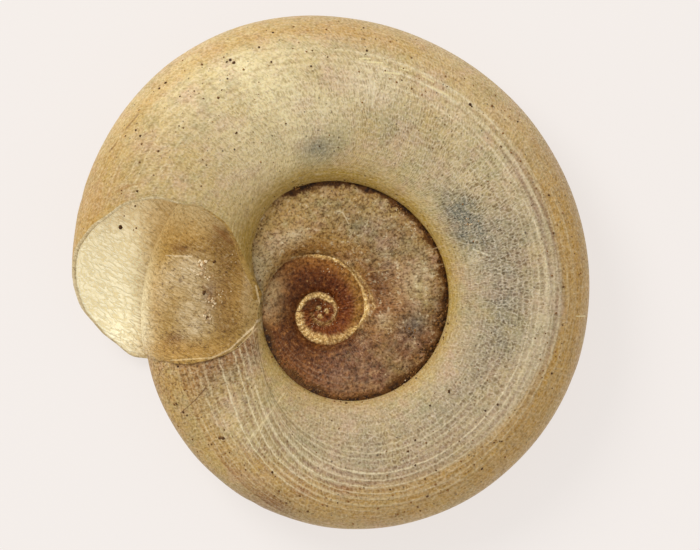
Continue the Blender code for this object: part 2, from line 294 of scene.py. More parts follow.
@dataclass(frozen=True)
class Coil:
    """The whole coiled form: sections, seams, mouth plane, glaze and hollow."""

    law: GrowthLaw = GrowthLaw()
    crest_place: float = 0.58
    low_place: Pair = (0.6, 0.12)
    upper_course: float = 5.0 / 6.0  # where the next whorl's upper seam runs
    under_course: float = 19.0 / 6.0  # where its under seam runs
    wall: float = 0.055
    callus: float = 0.03
    corner_fill: float = 0.12
    corner_share: float = 0.16
    mouth_top: Pair = (1.297, 1.70)
    mouth_slope: float = 0.875
    inner_tongue: float = 18.0
    tongue_ends: float = 0.8
    callus_reach: float = 13.5  # degrees, how far the glaze runs out over the whorl before
    callus_peak: float = 0.25  # where across that whorl it runs out furthest
    callus_corner: float = 0.04
    mouth_ease: float = 200.0
    callus_ease: float = 120.0
    lip_wave: float = 0.5  # degrees, how far the lip strays from its plane
    lip_waves: Waves = ((9.0, 0.6, 1.0), (23.0, 0.0, 0.5))
    foot_wave: float = 0.35  # degrees, how far the glaze's edge strays
    foot_waves: Waves = ((31.0, 1.0, 1.0), (67.0, 0.0, 0.6), (131.0, 2.0, 0.35))

    def outline(self, angle: Array) -> Outline:
        """Work out the sections at some angles, their seams lying on the whorl before.

        Args:
            angle: true angles along the coil.

        Returns:
            The sections, with arrays shaped like angle.
        """
        law = self.law
        seam, edge, under_seam = law.seam(angle), law.edge(angle), law.under_seam(angle)
        under, middle, top = law.heights(angle)
        under_seam_height, _, seam_height = law.heights(angle - 360.0)
        later = angle >= law.start + 360.0
        if later.any():
            before = self.outline(angle[later] - 360.0)
            seam_height[later] = before.at(before.upper_place(seam[later]))[1]
            under_seam_height[later] = before.at(before.under_place(under_seam[later]))[1]
        low_place = mix(*self.low_place, ramp(angle, law.mouth - self.mouth_ease, law.mouth))
        return Outline(seam, mix(seam, edge, self.crest_place), edge, mix(under_seam, edge, low_place),
                       under_seam, seam_height, top, middle, under, under_seam_height)

    def lines(self, course: Array) -> Lines:
        """Find where lines along the coil meet the mouth and the glaze's edge.

        Args:
            course: the course of each line, rising.

        Returns:
            The lines with their lags in degrees.
        """
        def over_plane(angle: Array) -> Array:
            """How far the lines lie over the mouth's plane."""
            radius, height = self.outline(angle).at(course)
            forward = self.mouth_top[0] - radius * np.sin(np.radians(angle))
            return height - (self.mouth_top[1] - self.mouth_slope * forward)
        mouth = self.law.mouth
        plane = solve(over_plane, np.full_like(course, mouth - 90.0), np.full_like(course, mouth + 60.0))
        tongue = np.maximum(0.0, 1.0 - course / self.tongue_ends) ** 2
        lag = plane - mouth + self.inner_tongue * tongue
        lag += self.lip_wave * window(course, 0.7, 3.4, 0.5) * ripple(course, self.lip_waves)
        first, last = lag[0], lag[-1]
        share = np.clip((course - self.upper_course) / (self.under_course - self.upper_course), 0.0, 1.0)
        rise = share / self.callus_peak
        between = last + (first - last) * np.exp(-share / self.callus_corner)
        between += self.callus_reach * rise * np.exp(1.0 - rise) * (1.0 - share ** 3)
        between += self.foot_wave * window(share, 0.12, 0.85, 0.1) * ripple(share, self.foot_waves)
        foot = np.where(course <= self.upper_course, first * course / self.upper_course, between)
        past = last * (4.0 - course) / (4.0 - self.under_course)
        return Lines(course, lag, np.where(course >= self.under_course, past, foot))

    def angle_at(self, nominal: Array, lines: Lines) -> Array:
        """The true angles where columns cross lines: columns lean to follow the mouth."""
        mouth, foot = self.law.mouth, self.law.mouth - 360.0
        lean = ramp(nominal, mouth - self.mouth_ease, mouth)
        foot_lean = ramp(nominal, foot - self.mouth_ease, foot)
        foot_lean = foot_lean * (1.0 - ramp(nominal, foot, foot + self.callus_ease))
        return nominal + lean * lines.mouth_lag + foot_lean * lines.foot_lag

    def seam_places(self, nominal: Array) -> tuple[Array, Array]:
        """Find where the next whorl's two seams lie on the sections of some columns.

        Args:
            nominal: the columns' nominal angles.

        Returns:
            The upper and the under place for each column.
        """
        foot = self.law.mouth - 360.0
        ends = self.lines(np.array([0.0, self.upper_course, self.under_course, 4.0]))
        angle = self.angle_at(np.minimum(nominal, foot)[..., None], ends)
        sections, after = self.outline(angle), angle + 360.0
        upper = sections.upper_place(self.law.seam(after))[..., 1]
        under = sections.under_place(self.law.under_seam(after))[..., 2]
        opened = ramp(nominal, foot, foot + self.callus_ease)
        return mix(upper, self.upper_course, opened), mix(under, self.under_course, opened)

    def place_at(self, nominal: Array, course: Array) -> Array:
        """Find where lines run on the sections.

        Args:
            nominal: the columns' nominal angles.
            course: the course of each line.

        Returns:
            The place on the section, by column and line.
        """
        upper, under = (part[:, None] for part in self.seam_places(nominal))
        low, high = self.upper_course, self.under_course
        first = upper * course / low
        second = mix(upper, under, (course - low) / (high - low))
        third = mix(under, 4.0, (course - high) / (4.0 - high))
        return np.where(course <= low, first, np.where(course <= high, second, third))

    def corner(self, angle: Array, upper: bool) -> tuple[Array, Array, Array]:
        """Find the hollow's corner, where wall and glaze are far enough apart.

        Args:
            angle: true angles along the coil.
            upper: the corner by the upper seam, or the one by the under seam.

        Returns:
            Its place on the whorl before, its radius and its height.
        """
        here, before = self.outline(angle), self.outline(angle - 360.0)
        fill = np.minimum(self.corner_fill, self.corner_share * (here.top - here.under))

        def upper_gap(place: Array) -> Array:
            """How far wall and whorl are apart by the upper seam, beyond the fill."""
            radius, height = before.at(place)
            rise = np.maximum(0.0, height - here.seam_height) / (here.top - here.seam_height)
            turn = np.arcsin(np.minimum(1.0, rise)) / QUARTER
            return radius - here.at(np.minimum(turn, 0.999))[0] - fill

        def under_gap(place: Array) -> Array:
            """How far they still lack of the fill by the under seam."""
            radius, height = before.at(place)
            floor = here.at(here.under_place(np.maximum(radius, here.under_seam)))[1]
            return fill - (height - floor)

        edge = np.full_like(angle, 2.0)
        if upper:
            place = solve(upper_gap, before.upper_place(here.seam), edge)
        else:
            place = solve(under_gap, edge, before.under_place(here.under_seam))
        return place, *before.beside(place, self.callus)

    def hollow_outline(self, angle: Array) -> Outline:
        """The hollow's own sections, their seams moved to its corners."""
        _, upper_radius, upper_height = self.corner(angle, True)
        _, under_radius, under_height = self.corner(angle, False)
        return replace(self.outline(angle), seam=upper_radius, seam_height=upper_height,
                       under_seam=under_radius, under_seam_height=under_height)


def spread(angle: Array, radius: Array, height: Array) -> Array:
    """Points from their angles in degrees, radii and heights, as a last axis of three."""
    ray = np.radians(angle)
    return np.stack([radius * np.cos(ray), radius * np.sin(ray), height], axis=-1)


class Tint(StrEnum):
    """The pigments and marks that a corner of the shell's mesh can carry, from 0 to 1."""

    TAN = auto()  # warm brown toward the outer edge; a few washes are painted light on places in shade
    HONEY = auto()  # clear yellow beside a seam
    SLATE = auto()  # blue grey of what shows through the wall
    VIOLET = auto()  # purplish brown
    OCHRE = auto()  # orange brown beside the gilt rim
    UMBER = auto()  # red brown of the oldest whorls
    RUST = auto()  # iron stain and dirt in the seams
    PALE = auto()  # worn or chalky; a few washes are painted light on places in shade
    GILT = auto()  # golden tone with a painted highlight on the raised rim along the young seam
    THREADED = auto()  # how strongly the spiral threads stand out
    RIBBED = auto()  # how strongly the growth lines stand out
    NETTED = auto()  # how strongly the fine net stands out
    GLAZE = auto()  # lime laid on the whorl before
    AMBER = auto()  # warm stain inside the mouth
    SHADE = auto()  # brown stains deeper inside, and painted shade under the lip's roof
    LIT = auto()  # painted light: raises the lining's painted glow where the mouth lies in shade, as if light came through the thin wall


@dataclass(frozen=True)
class Wash:
    """One soft patch of a pigment, placed by its angle and its share of the way across.

    Inside the mouth the two are millimetres from the nucleus instead, to the right and up.
    """

    angle: float
    angle_reach: float
    across: float
    across_reach: float
    strength: float = 1.0
    crisp: float = 1.0  # above 1 the patch is even inside and has a firm edge

    def mask(self, angle: Array, across: Array) -> Array:
        """How much of the pigment lies at each point."""
        far = ((angle - self.angle) / self.angle_reach) ** 2 + ((across - self.across) / self.across_reach) ** 2
        return self.strength * np.exp(-far ** self.crisp)


def washes(*rows: tuple[float, ...]) -> tuple[Wash, ...]:
    """Washes from rows of what each is given."""
    return tuple(Wash(*row) for row in rows)


def laid(surface: dict[Tint, tuple[Wash, ...]], angle: Array, across: Array) -> Values:
    """Lay the washes of each pigment over each other.

    Args:
        surface: the washes of a surface.
        angle: angles along the coil.
        across: shares of the way across the surface.

    Returns:
        The amount of every pigment at each point, from 0 to 1.
    """
    amounts = {}
    for tint in Tint:
        bare = np.ones(np.broadcast(angle, across).shape)
        for wash in surface.get(tint, ()):
            bare = bare * (1.0 - np.clip(wash.mask(angle, across), 0.0, 1.0))
        amounts[tint] = 1.0 - bare
    return amounts


def strengthen(values: Values, tint: Tint, amount: Array) -> None:
    """Raise a pigment to an amount where there is less of it."""
    values[tint] = np.maximum(values[tint], amount)


# the strength of the brown outer band, of the yellow band in the seam, and where across the whorl
# the brown one starts: each over angles along the coil
TAN_BAND = ((540, 580, 620, 680, 735, 752, 765, 790, 815, 840, 900),
            (0.4, 0.45, 0.6, 0.8, 1.0, 0.75, 0.4, 0.3, 0.7, 0.6, 0.6))
HONEY_BAND = ((560, 640, 690, 740, 830), (0.6, 0.35, 0.5, 0.9, 1.0))
TAN_START = ((560, 600, 640, 680, 700, 720, 740, 770, 800, 900),
             (0.7, 0.6, 0.58, 0.64, 0.67, 0.78, 0.73, 0.72, 0.8, 0.85))
# each row says place and reach along the coil, place and reach across it, strength and crispness
OUTSIDE_WASHES = {
    Tint.NETTED: washes(
        (740, 50, 0.42, 0.26, 0.95), (660, 50, 0.4, 0.4, 0.5), (600, 50, 0.5, 0.4, 0.4),
        (800, 60, 0.5, 0.5, 0.5), (855, 30, 0.5, 0.4, 0.12), (720, 300, 0.7, 0.9, 0.25),
        (752, 14, 0.25, 0.16, 0.8)),
    Tint.THREADED: washes(
        (602, 46, 0.58, 0.3, 1.0, 1.6), (668, 46, 0.6, 0.24, 0.7, 1.5), (832, 30, 0.75, 0.14, 0.35),
        (745, 40, 0.74, 0.2, 0.4), (280, 50, 0.65, 0.25, 0.08), (720, 600, 0.6, 0.6, 0.1),
        (720, 200, 1.5, 0.4, 0.1)),
    Tint.RIBBED: washes(
        (720, 300, 1.5, 0.45, 0.9), (603, 3, 0.45, 0.4, 0.8), (378, 14, 0.85, 0.25, 0.6),
        (345, 40, 0.15, 0.2, 0.4), (795, 14, 0.4, 0.25, 0.8), (720, 600, 0.6, 0.6, 0.2),
        (738, 4, 0.22, 0.09, 0.9)),
    Tint.SLATE: washes(
        (752, 13, 0.25, 0.13, 0.95, 1.5), (728, 22, 0.4, 0.2, 0.42), (722, 44, 0.42, 0.16, 0.3),
        (615, 30, 0.42, 0.16, 0.2), (811, 7.5, 0.2, 0.1, 0.75), (648, 12, 0.4, 0.25, 0.25),
        (780, 12, 0.42, 0.12, 0.15), (690, 26, 0.34, 0.14, 0.25), (352, 7, 0.62, 0.14, 0.9),
        (425, 22, 0.55, 0.25, 0.35), (392, 10, 0.3, 0.16, 0.5)),
    Tint.VIOLET: washes(
        (735, 30, 0.715, 0.02, 0.7), (730, 30, 0.775, 0.02, 0.6), (690, 26, 0.6, 0.022, 0.5),
        (684, 30, 0.68, 0.02, 0.5), (655, 24, 0.56, 0.02, 0.5), (648, 30, 0.64, 0.022, 0.5),
        (680, 44, 0.56, 0.26, 0.1), (290, 34, 0.62, 0.26, 0.3), (345, 14, 0.6, 0.22, 0.45),
        (180, 12, 0.75, 0.35, 0.5), (405, 18, 0.7, 0.2, 0.3)),
    # the rows at 162, 508 and 888 degrees are painted light on places that lie in shade
    Tint.PALE: washes(
        (700, 24, 0.65, 0.1, 0.35), (724, 14, 0.7, 0.07, 0.35), (836, 16, 0.2, 0.15, 0.3),
        (378, 9, 0.62, 0.2, 0.3), (468, 8, 0.3, 0.12, 0.35), (812, 9, 0.42, 0.12, 0.35),
        (888, 14, 0.12, 0.2, 0.45), (592, 12, 0.5, 0.2, 0.2), (797, 8, 0.62, 0.13, 0.5, 2),
        (739, 2.5, 0.22, 0.06, 0.3, 2), (552, 6, 0.07, 0.07, 0.4, 1.5), (830, 26, 0.45, 0.25, 0.3),
        (480, 12, 0.38, 0.14, 0.3), (162, 18, 0.85, 0.3, 0.3), (508, 16, 0.75, 0.4, 0.4),
        (352, 7, 0.26, 0.08, 0.3)),
    Tint.OCHRE: washes(
        (455, 42, 0.09, 0.14, 0.55), (370, 36, 0.18, 0.18, 0.9), (82, 34, 0.8, 0.3, 0.5),
        (598, 12, 0.9, 0.08, 0.4), (623.8, 3.5, 0.76, 0.04, 0.8), (637.5, 3.5, 0.69, 0.035, 0.7),
        (615, 5, 0.92, 0.05, 0.6), (564, 11, 0.6, 0.35, 0.65), (370, 22, 0.45, 0.14, 0.5),
        (300, 50, 0.95, 0.1, 0.3), (250, 30, 0.8, 0.35, 0.35), (478, 24, 0.2, 0.3, 0.25)),
    Tint.HONEY: washes(
        (462, 36, 0.13, 0.14, 0.5), (350, 8, 0.3, 0.1, 0.5), (500, 40, 0.9, 0.2, 0.3)),
    Tint.UMBER: washes(
        (352, 14, 0.5, 0.2, 0.2), (615, 10, 0.96, 0.1, 0.4), (572, 8, 0.3, 0.2, 0.25),
        (566, 11, 0.5, 0.35, 0.22), (872, 18, 0.85, 0.22, 0.14), (150, 100, 0.25, 0.25, 0.6),
        (212, 14, 0.45, 0.5, 0.4), (305, 30, 0.06, 0.1, 0.45), (385, 24, 0.2, 0.1, 0.6),
        (357, 12, 0.98, 0.12, 0.8), (872, 12, 0.16, 0.16, 0.2)),
    Tint.RUST: washes(
        (356, 4, 0.94, 0.06, 1.0, 1.5), (340.6, 4, 0.95, 0.045, 1.0, 1.5), (327, 6, 0.95, 0.06, 0.8),
        (458, 5, 0.97, 0.05, 0.8)),
    # the rows at 162 and 182 degrees are painted light where the last whorl shades the young whorl
    Tint.TAN: washes(
        (882, 24, 0.92, 0.25, 0.7), (20, 90, 0.85, 0.22, 0.55), (182, 12, 0.7, 0.4, 0.45),
        (162, 20, 0.85, 0.35, 0.5)),
}
INSIDE_WASHES = {
    Tint.AMBER: washes(
        (-1.86, 0.16, 0.15, 0.6, 0.1), (-1.92, 0.07, 0.1, 0.4, 0.45), (-2.35, 0.7, 1.25, 0.3, 0.4),
        (-1.75, 0.4, -0.46, 0.14, 0.6), (-1.35, 0.5, -0.46, 0.15, 0.6), (-0.95, 0.25, 0.15, 0.3, 0.4),
        (-1.62, 0.3, 0.9, 0.2, 0.5)),
    # the row at -0.81 mm is painted light on a shaded part of the glaze
    Tint.PALE: washes(
        (-1.84, 0.13, 0.24, 0.25, 0.35), (-0.81, 0.08, 0.45, 0.15, 0.5), (-1.6, 0.26, 0.46, 0.19, 0.4, 4),
        (-1.46, 0.24, 0.36, 0.3, 0.3, 2), (-1.47, 0.22, -0.08, 0.26, 0.5, 2), (-0.85, 0.05, 0.1, 0.3, 0.4),
        (-0.74, 0.03, 0.05, 0.25, 0.4)),
    # painted light: where the lining's painted glow is raised to brighten shaded parts of the mouth
    Tint.LIT: washes(
        (-1.95, 0.3, 0.85, 0.5, 0.3), (-0.84, 0.14, 0.98, 0.3, 0.35), (-1.35, 0.35, 1.0, 0.25, 0.3)),
    # the crisp rows are brown spots; the soft rows darken the mouth under the lip, partly painted shade
    Tint.SHADE: washes(
        (-1.7, 0.12, -0.33, 0.09, 0.9, 2), (-1.5, 0.22, -0.43, 0.08, 0.45), (-1.16, 0.16, 0.84, 0.16, 0.5),
        (-1.64, 0.13, 0.74, 0.05, 0.9, 2), (-1.3, 0.07, 0.2, 0.2, 0.8), (-1.08, 0.2, 0.25, 0.75, 0.6),
        (-1.5, 0.2, 0.72, 0.1, 0.35)),
}


@dataclass
class Skin:
    """A mesh in the making: its points, its faces and what their corners carry."""

    points: list[Array] = field(default_factory=list)
    faces: list[Array] = field(default_factory=list)
    carried: dict[str, list[Array]] = field(default_factory=dict)
    finishes: list[Array] = field(default_factory=list)
    finish: int = 0  # the finish that new faces take
    count: int = 0
    names: tuple[str, ...] = tuple(Tint)  # what every corner carries, 0 where nothing else is said

    def add_points(self, points: Array) -> Array:
        """Add points and return their numbers, in the same layout."""
        numbers = self.count + np.arange(points[..., 0].size).reshape(points.shape[:-1])
        self.points.append(points.reshape(-1, 3))
        self.count += numbers.size
        return numbers

    def add_faces(self, corners: Array, values: Values) -> None:
        """Add faces of one kind.

        Args:
            corners: point numbers, one row for each face.
            values: what each corner carries, in the same layout.
        """
        self.faces.append(corners)
        self.finishes.append(np.full(len(corners), self.finish))
        for name in self.names:
            values.setdefault(name, np.zeros(corners.shape))
        for name, value in values.items():
            self.carried.setdefault(name, []).append(value.ravel())

    def add_sheet(self, numbers: Array, values: Values, flip: bool = False) -> None:
        """Skin a grid of points with four-sided faces.

        Args:
            numbers: point numbers, in rows and columns.
            values: what each point carries in this sheet, in the same layout.
            flip: turn the faces over.
        """
        grid = np.arange(numbers.size).reshape(numbers.shape)
        order = [grid[:-1, :-1], grid[:-1, 1:], grid[1:, 1:], grid[1:, :-1]]
        cells = np.stack(order[::-1] if flip else order, axis=-1).reshape(-1, 4)
        spread_out = {name: np.broadcast_to(v, numbers.shape).ravel()[cells] for name, v in values.items()}
        self.add_faces(numbers.ravel()[cells], spread_out)

    def add_fan(self, loop: Array, hub: Array, values: Values, flip: bool = False) -> None:
        """Close a loop, whose first point is repeated at its end, with a fan of triangles.

        Args:
            loop: the loop's point numbers.
            hub: where the fan's middle point goes.
            values: what each point of the loop carries; the hub carries their mean.
            flip: turn the faces over.
        """
        middle = self.add_points(hub.reshape(1, 3))
        numbers = np.concatenate([loop, middle])
        k = np.arange(len(loop) - 1)
        last = np.full_like(k, len(loop))
        cells = np.stack([k + 1, k, last] if flip else [k, k + 1, last], axis=-1)
        full = {}
        for name, value in values.items():
            row = np.broadcast_to(value, loop.shape)
            full[name] = np.append(row, row.mean())[cells]
        self.add_faces(numbers[cells], full)

    def add_zip(self, outer: tuple[Array, Array, dict], inner: tuple[Array, Array, dict]) -> None:
        """Join two loops with different numbers of points by a band of triangles.

        Args:
            outer: one loop's point numbers, their rising places along it, and what they carry.
            inner: the same for the other loop, whose places run over the same range.
        """
        numbers, values = [], []
        j, k = 0, 0
        while j < len(outer[0]) - 1 or k < len(inner[0]) - 1:
            inner_done = k == len(inner[0]) - 1
            outer_next = j < len(outer[0]) - 1 and (inner_done or outer[1][j + 1] <= inner[1][k + 1])
            third = (0, j + 1) if outer_next else (1, k + 1)
            numbers.append([outer[0][j], (outer, inner)[third[0]][0][third[1]], inner[0][k]])
            values.append([(0, j), third, (1, k)])
            j, k = (j + 1, k) if outer_next else (j, k + 1)
        carried = {}
        for name in outer[2]:
            rows = [np.broadcast_to(side[2].get(name, 0.0), side[0].shape) for side in (outer, inner)]
            carried[name] = np.array([[rows[side][at] for side, at in row] for row in values])
        self.add_faces(np.array(numbers), carried)

    def box(self) -> tuple[Array, Array]:
        """Lowest and highest corner of the points."""
        every = np.concatenate(self.points)
        return every.min(axis=0), every.max(axis=0)

    def to_object(self, name: str, shift: Array | float = 0.0, scale: float = 1.0,
                  smooth: bool = True) -> bpy.types.Object:
        """Make the mesh in metres.

        Args:
            name: the piece's name.
            shift: moved by this first, in millimetres.
            scale: then scaled about the origin.
            smooth: whether its faces are rounded over.

        Returns:
            The new object, linked to the scene.
        """
        mesh = bpy.data.meshes.new(name)
        points = (np.concatenate(self.points) + shift) * scale * MM
        rows = [row for block in self.faces for row in block.tolist()]
        mesh.from_pydata(points.tolist(), [], rows)
        for label, blocks in self.carried.items():
            layer = mesh.attributes.new(label, "FLOAT", "CORNER")
            layer.data.foreach_set("value", np.concatenate(blocks).astype(np.float32))
        mesh.polygons.foreach_set("use_smooth", [smooth] * len(rows))
        mesh.polygons.foreach_set("material_index", np.concatenate(self.finishes))
        return placed(name, mesh)


@dataclass
class Spots:
    """Where points of the outside lie, along and across the coil."""

    turn: Array  # nominal angle of the column
    angle: Array  # true angle of the point
    along: Array  # distance along the coil
    thread: Array  # place across the threads, one for each thread
    share: Array  # 0 at the seam, 1 at the outer edge, 2 at the under seam
    across: Array  # the same, but 1 at the next whorl's seams where that whorl covers the edge
    from_seam: Array  # distance from the whorl's own upper seam
    to_next: Array  # distance from the next whorl's seam, upper or under


@dataclass(frozen=True)
class Relief:
    """Low relief of the outside, in millimetres, standing out of the smooth sections."""

    thread: float = 0.0022  # spiral threads
    cords: tuple[tuple[float, ...], ...] = (
        (15.5, 742, 55, 0.010), (16.9, 742, 50, 0.008), (14.4, 730, 40, 0.003),
        (18.3, 735, 36, 0.004), (19.6, 722, 40, 0.003), (12.5, 602, 42, 0.006),
        (13.7, 608, 34, 0.005), (15.2, 596, 36, 0.006), (11.2, 612, 30, 0.004),
        (16.7, 628, 42, 0.005), (18.0, 640, 50, 0.004), (9.9, 640, 36, 0.003),
        (14.6, 668, 26, 0.004), (15.0, 802, 20, 0.006), (16.8, 806, 20, 0.009),
        (18.0, 798, 26, 0.009))  # stronger threads: which, at what angle, its reach, its height
    cord_width: float = 0.16
    cord_lean: float = 0.03  # threads for each degree that the cords lean in by
    leaning: Pair = (720.0, 755.0)
    lump: float = 0.009  # grains of the first whorl
    swell: float = 0.004  # broad waves of growth
    swells: Waves = ((2.1, 0.7, 1.0), (3.7, 1.1, 0.7), (6.3, 0.0, 0.5))
    halts: tuple[Pair, ...] = ((603.0, 0.005), (705.0, 0.003), (846.0, 0.003), (884.0, 0.009))
    halt_width: float = 1.6  # degrees, the length of a growth halt's step
    rim: float = 0.03  # the raised rim along the young seam, which carries a painted highlight
    rim_run: tuple[tuple[float, float, float], ...] = (
        (-180, 0.0, 0.4), (-60, 0.0, 0.5), (0, -0.02, 0.5), (30, -0.035, 0.7), (60, -0.06, 1.0),
        (90, -0.055, 1.0), (120, -0.043, 0.9), (150, -0.03, 0.9), (180, -0.02, 0.8), (240, -0.035, 0.7),
        (270, -0.045, 0.8), (300, -0.04, 0.55), (330, -0.02, 0.75), (345, 0.02, 0.9), (360, 0.05, 1.0),
        (390, 0.028, 1.0), (420, 0.0, 1.0), (450, -0.03, 0.7), (480, 0.0, 0.45), (500, 0.0, 0.0)
    )  # its angle, its place out from the seam, and its strength
    rim_widths: Pair = (0.042, 0.026)  # on the first whorls and from the third
    rim_twin: float = 0.05  # from the rim to its fainter twin
    rib: float = 0.0014  # cross ribs of the young whorls
    rib_pitch: float = 0.081

    def rim_marks(self, turn: Array, outward: Array) -> Array:
        """How high the raised rim stands, from 0 to 1.

        Args:
            turn: nominal angles of the whorl that the rim belongs to.
            outward: distances out from that whorl's seam.

        Returns:
            The share of the rim's height.
        """
        turns, places, strengths = zip(*self.rim_run)
        place = np.interp(turn, turns, places)
        width = mix(*self.rim_widths, ramp(turn, 300.0, 360.0))
        profile = np.exp(-((outward - place) / width) ** 2)
        twin = np.exp(-((outward - place - self.rim_twin) / (0.6 * width)) ** 2)
        twin = twin * window(turn, 370.0, 455.0, 20.0)
        way = np.radians(turn)
        beading = 0.84 + 0.16 * np.sin(13.0 * way + 2.0 * np.sin(5.0 * way)) * np.sin(7.0 * way + 1.0)
        return np.maximum(profile, 0.6 * twin) * beading * np.interp(turn, turns, strengths)

    def rim_over_seams(self, spots: Spots) -> Array:
        """The rim's share at each point, also where it leans over the seam onto the whorl before."""
        onward = self.rim_marks(spots.turn + 360.0, -spots.to_next) * (spots.share < 1.0)
        return np.maximum(self.rim_marks(spots.turn, spots.from_seam), onward)

    def cord_marks(self, spots: Spots) -> Array:
        """How high the stronger threads stand.

        Args:
            spots: where the points lie.

        Returns:
            The share of the highest thread's height at each point.
        """
        total = np.zeros(spots.share.shape)
        highest = max(cord[3] for cord in self.cords)
        leant = spots.thread + self.cord_lean * (np.clip(spots.turn, *self.leaning) - self.leaning[0])
        for thread, angle, reach, height in self.cords:
            profile = np.exp(-((leant - thread) / self.cord_width) ** 2 - ((spots.turn - angle) / reach) ** 4)
            total = total + profile * height / highest
        return total

    def height(self, spots: Spots) -> Array:
        """Work out the relief.

        Args:
            spots: where the points lie.

        Returns:
            The height at each point, with no relief left at the seams.
        """
        turn, along, share = spots.turn, spots.along, spots.share
        strength = 0.6 + 0.4 * np.sin(2.4 * np.floor(spots.thread + 0.5) + 1.3)
        reach = window(share, 0.15, 1.2, 0.25) * ramp(turn, 380.0, 620.0)
        total = self.thread * strength * np.cos(2.0 * math.pi * spots.thread) * reach
        total = total + max(cord[3] for cord in self.cords) * self.cord_marks(spots)
        highest = sum(share for _, _, share in self.swells)
        total = total + self.swell * ripple(along, self.swells) / highest * ramp(turn, 100.0, 500.0)
        for place, step in self.halts:
            past = (turn - place) / self.halt_width
            total = total - step * np.exp(-past ** 2) + 0.5 * step * np.exp(-(past - 2.0) ** 2)
        ribs = np.cos(2.0 * math.pi * (along + 0.03 * np.sin(7.0 * along)) / self.rib_pitch)
        ribs = ribs * (0.5 + 0.5 * np.sin(5.3 * along + 0.4 * spots.thread)) + 0.4 * np.sin(11.0 * along)
        total = total + self.rib * ribs * window(turn, -60.0, 430.0, 60.0) * window(share, 0.15, 0.9, 0.2)
        grains = np.sin(61.0 * along) * np.sin(0.9 * spots.thread + 23.0 * along)
        total = total + self.lump * grains * (1.0 - ramp(turn, 60.0, 150.0))
        total = total * ramp(spots.from_seam, 0.0, 0.03) * (1.0 - ramp(share, 1.85, 2.0))
        return total + self.rim * self.rim_over_seams(spots)


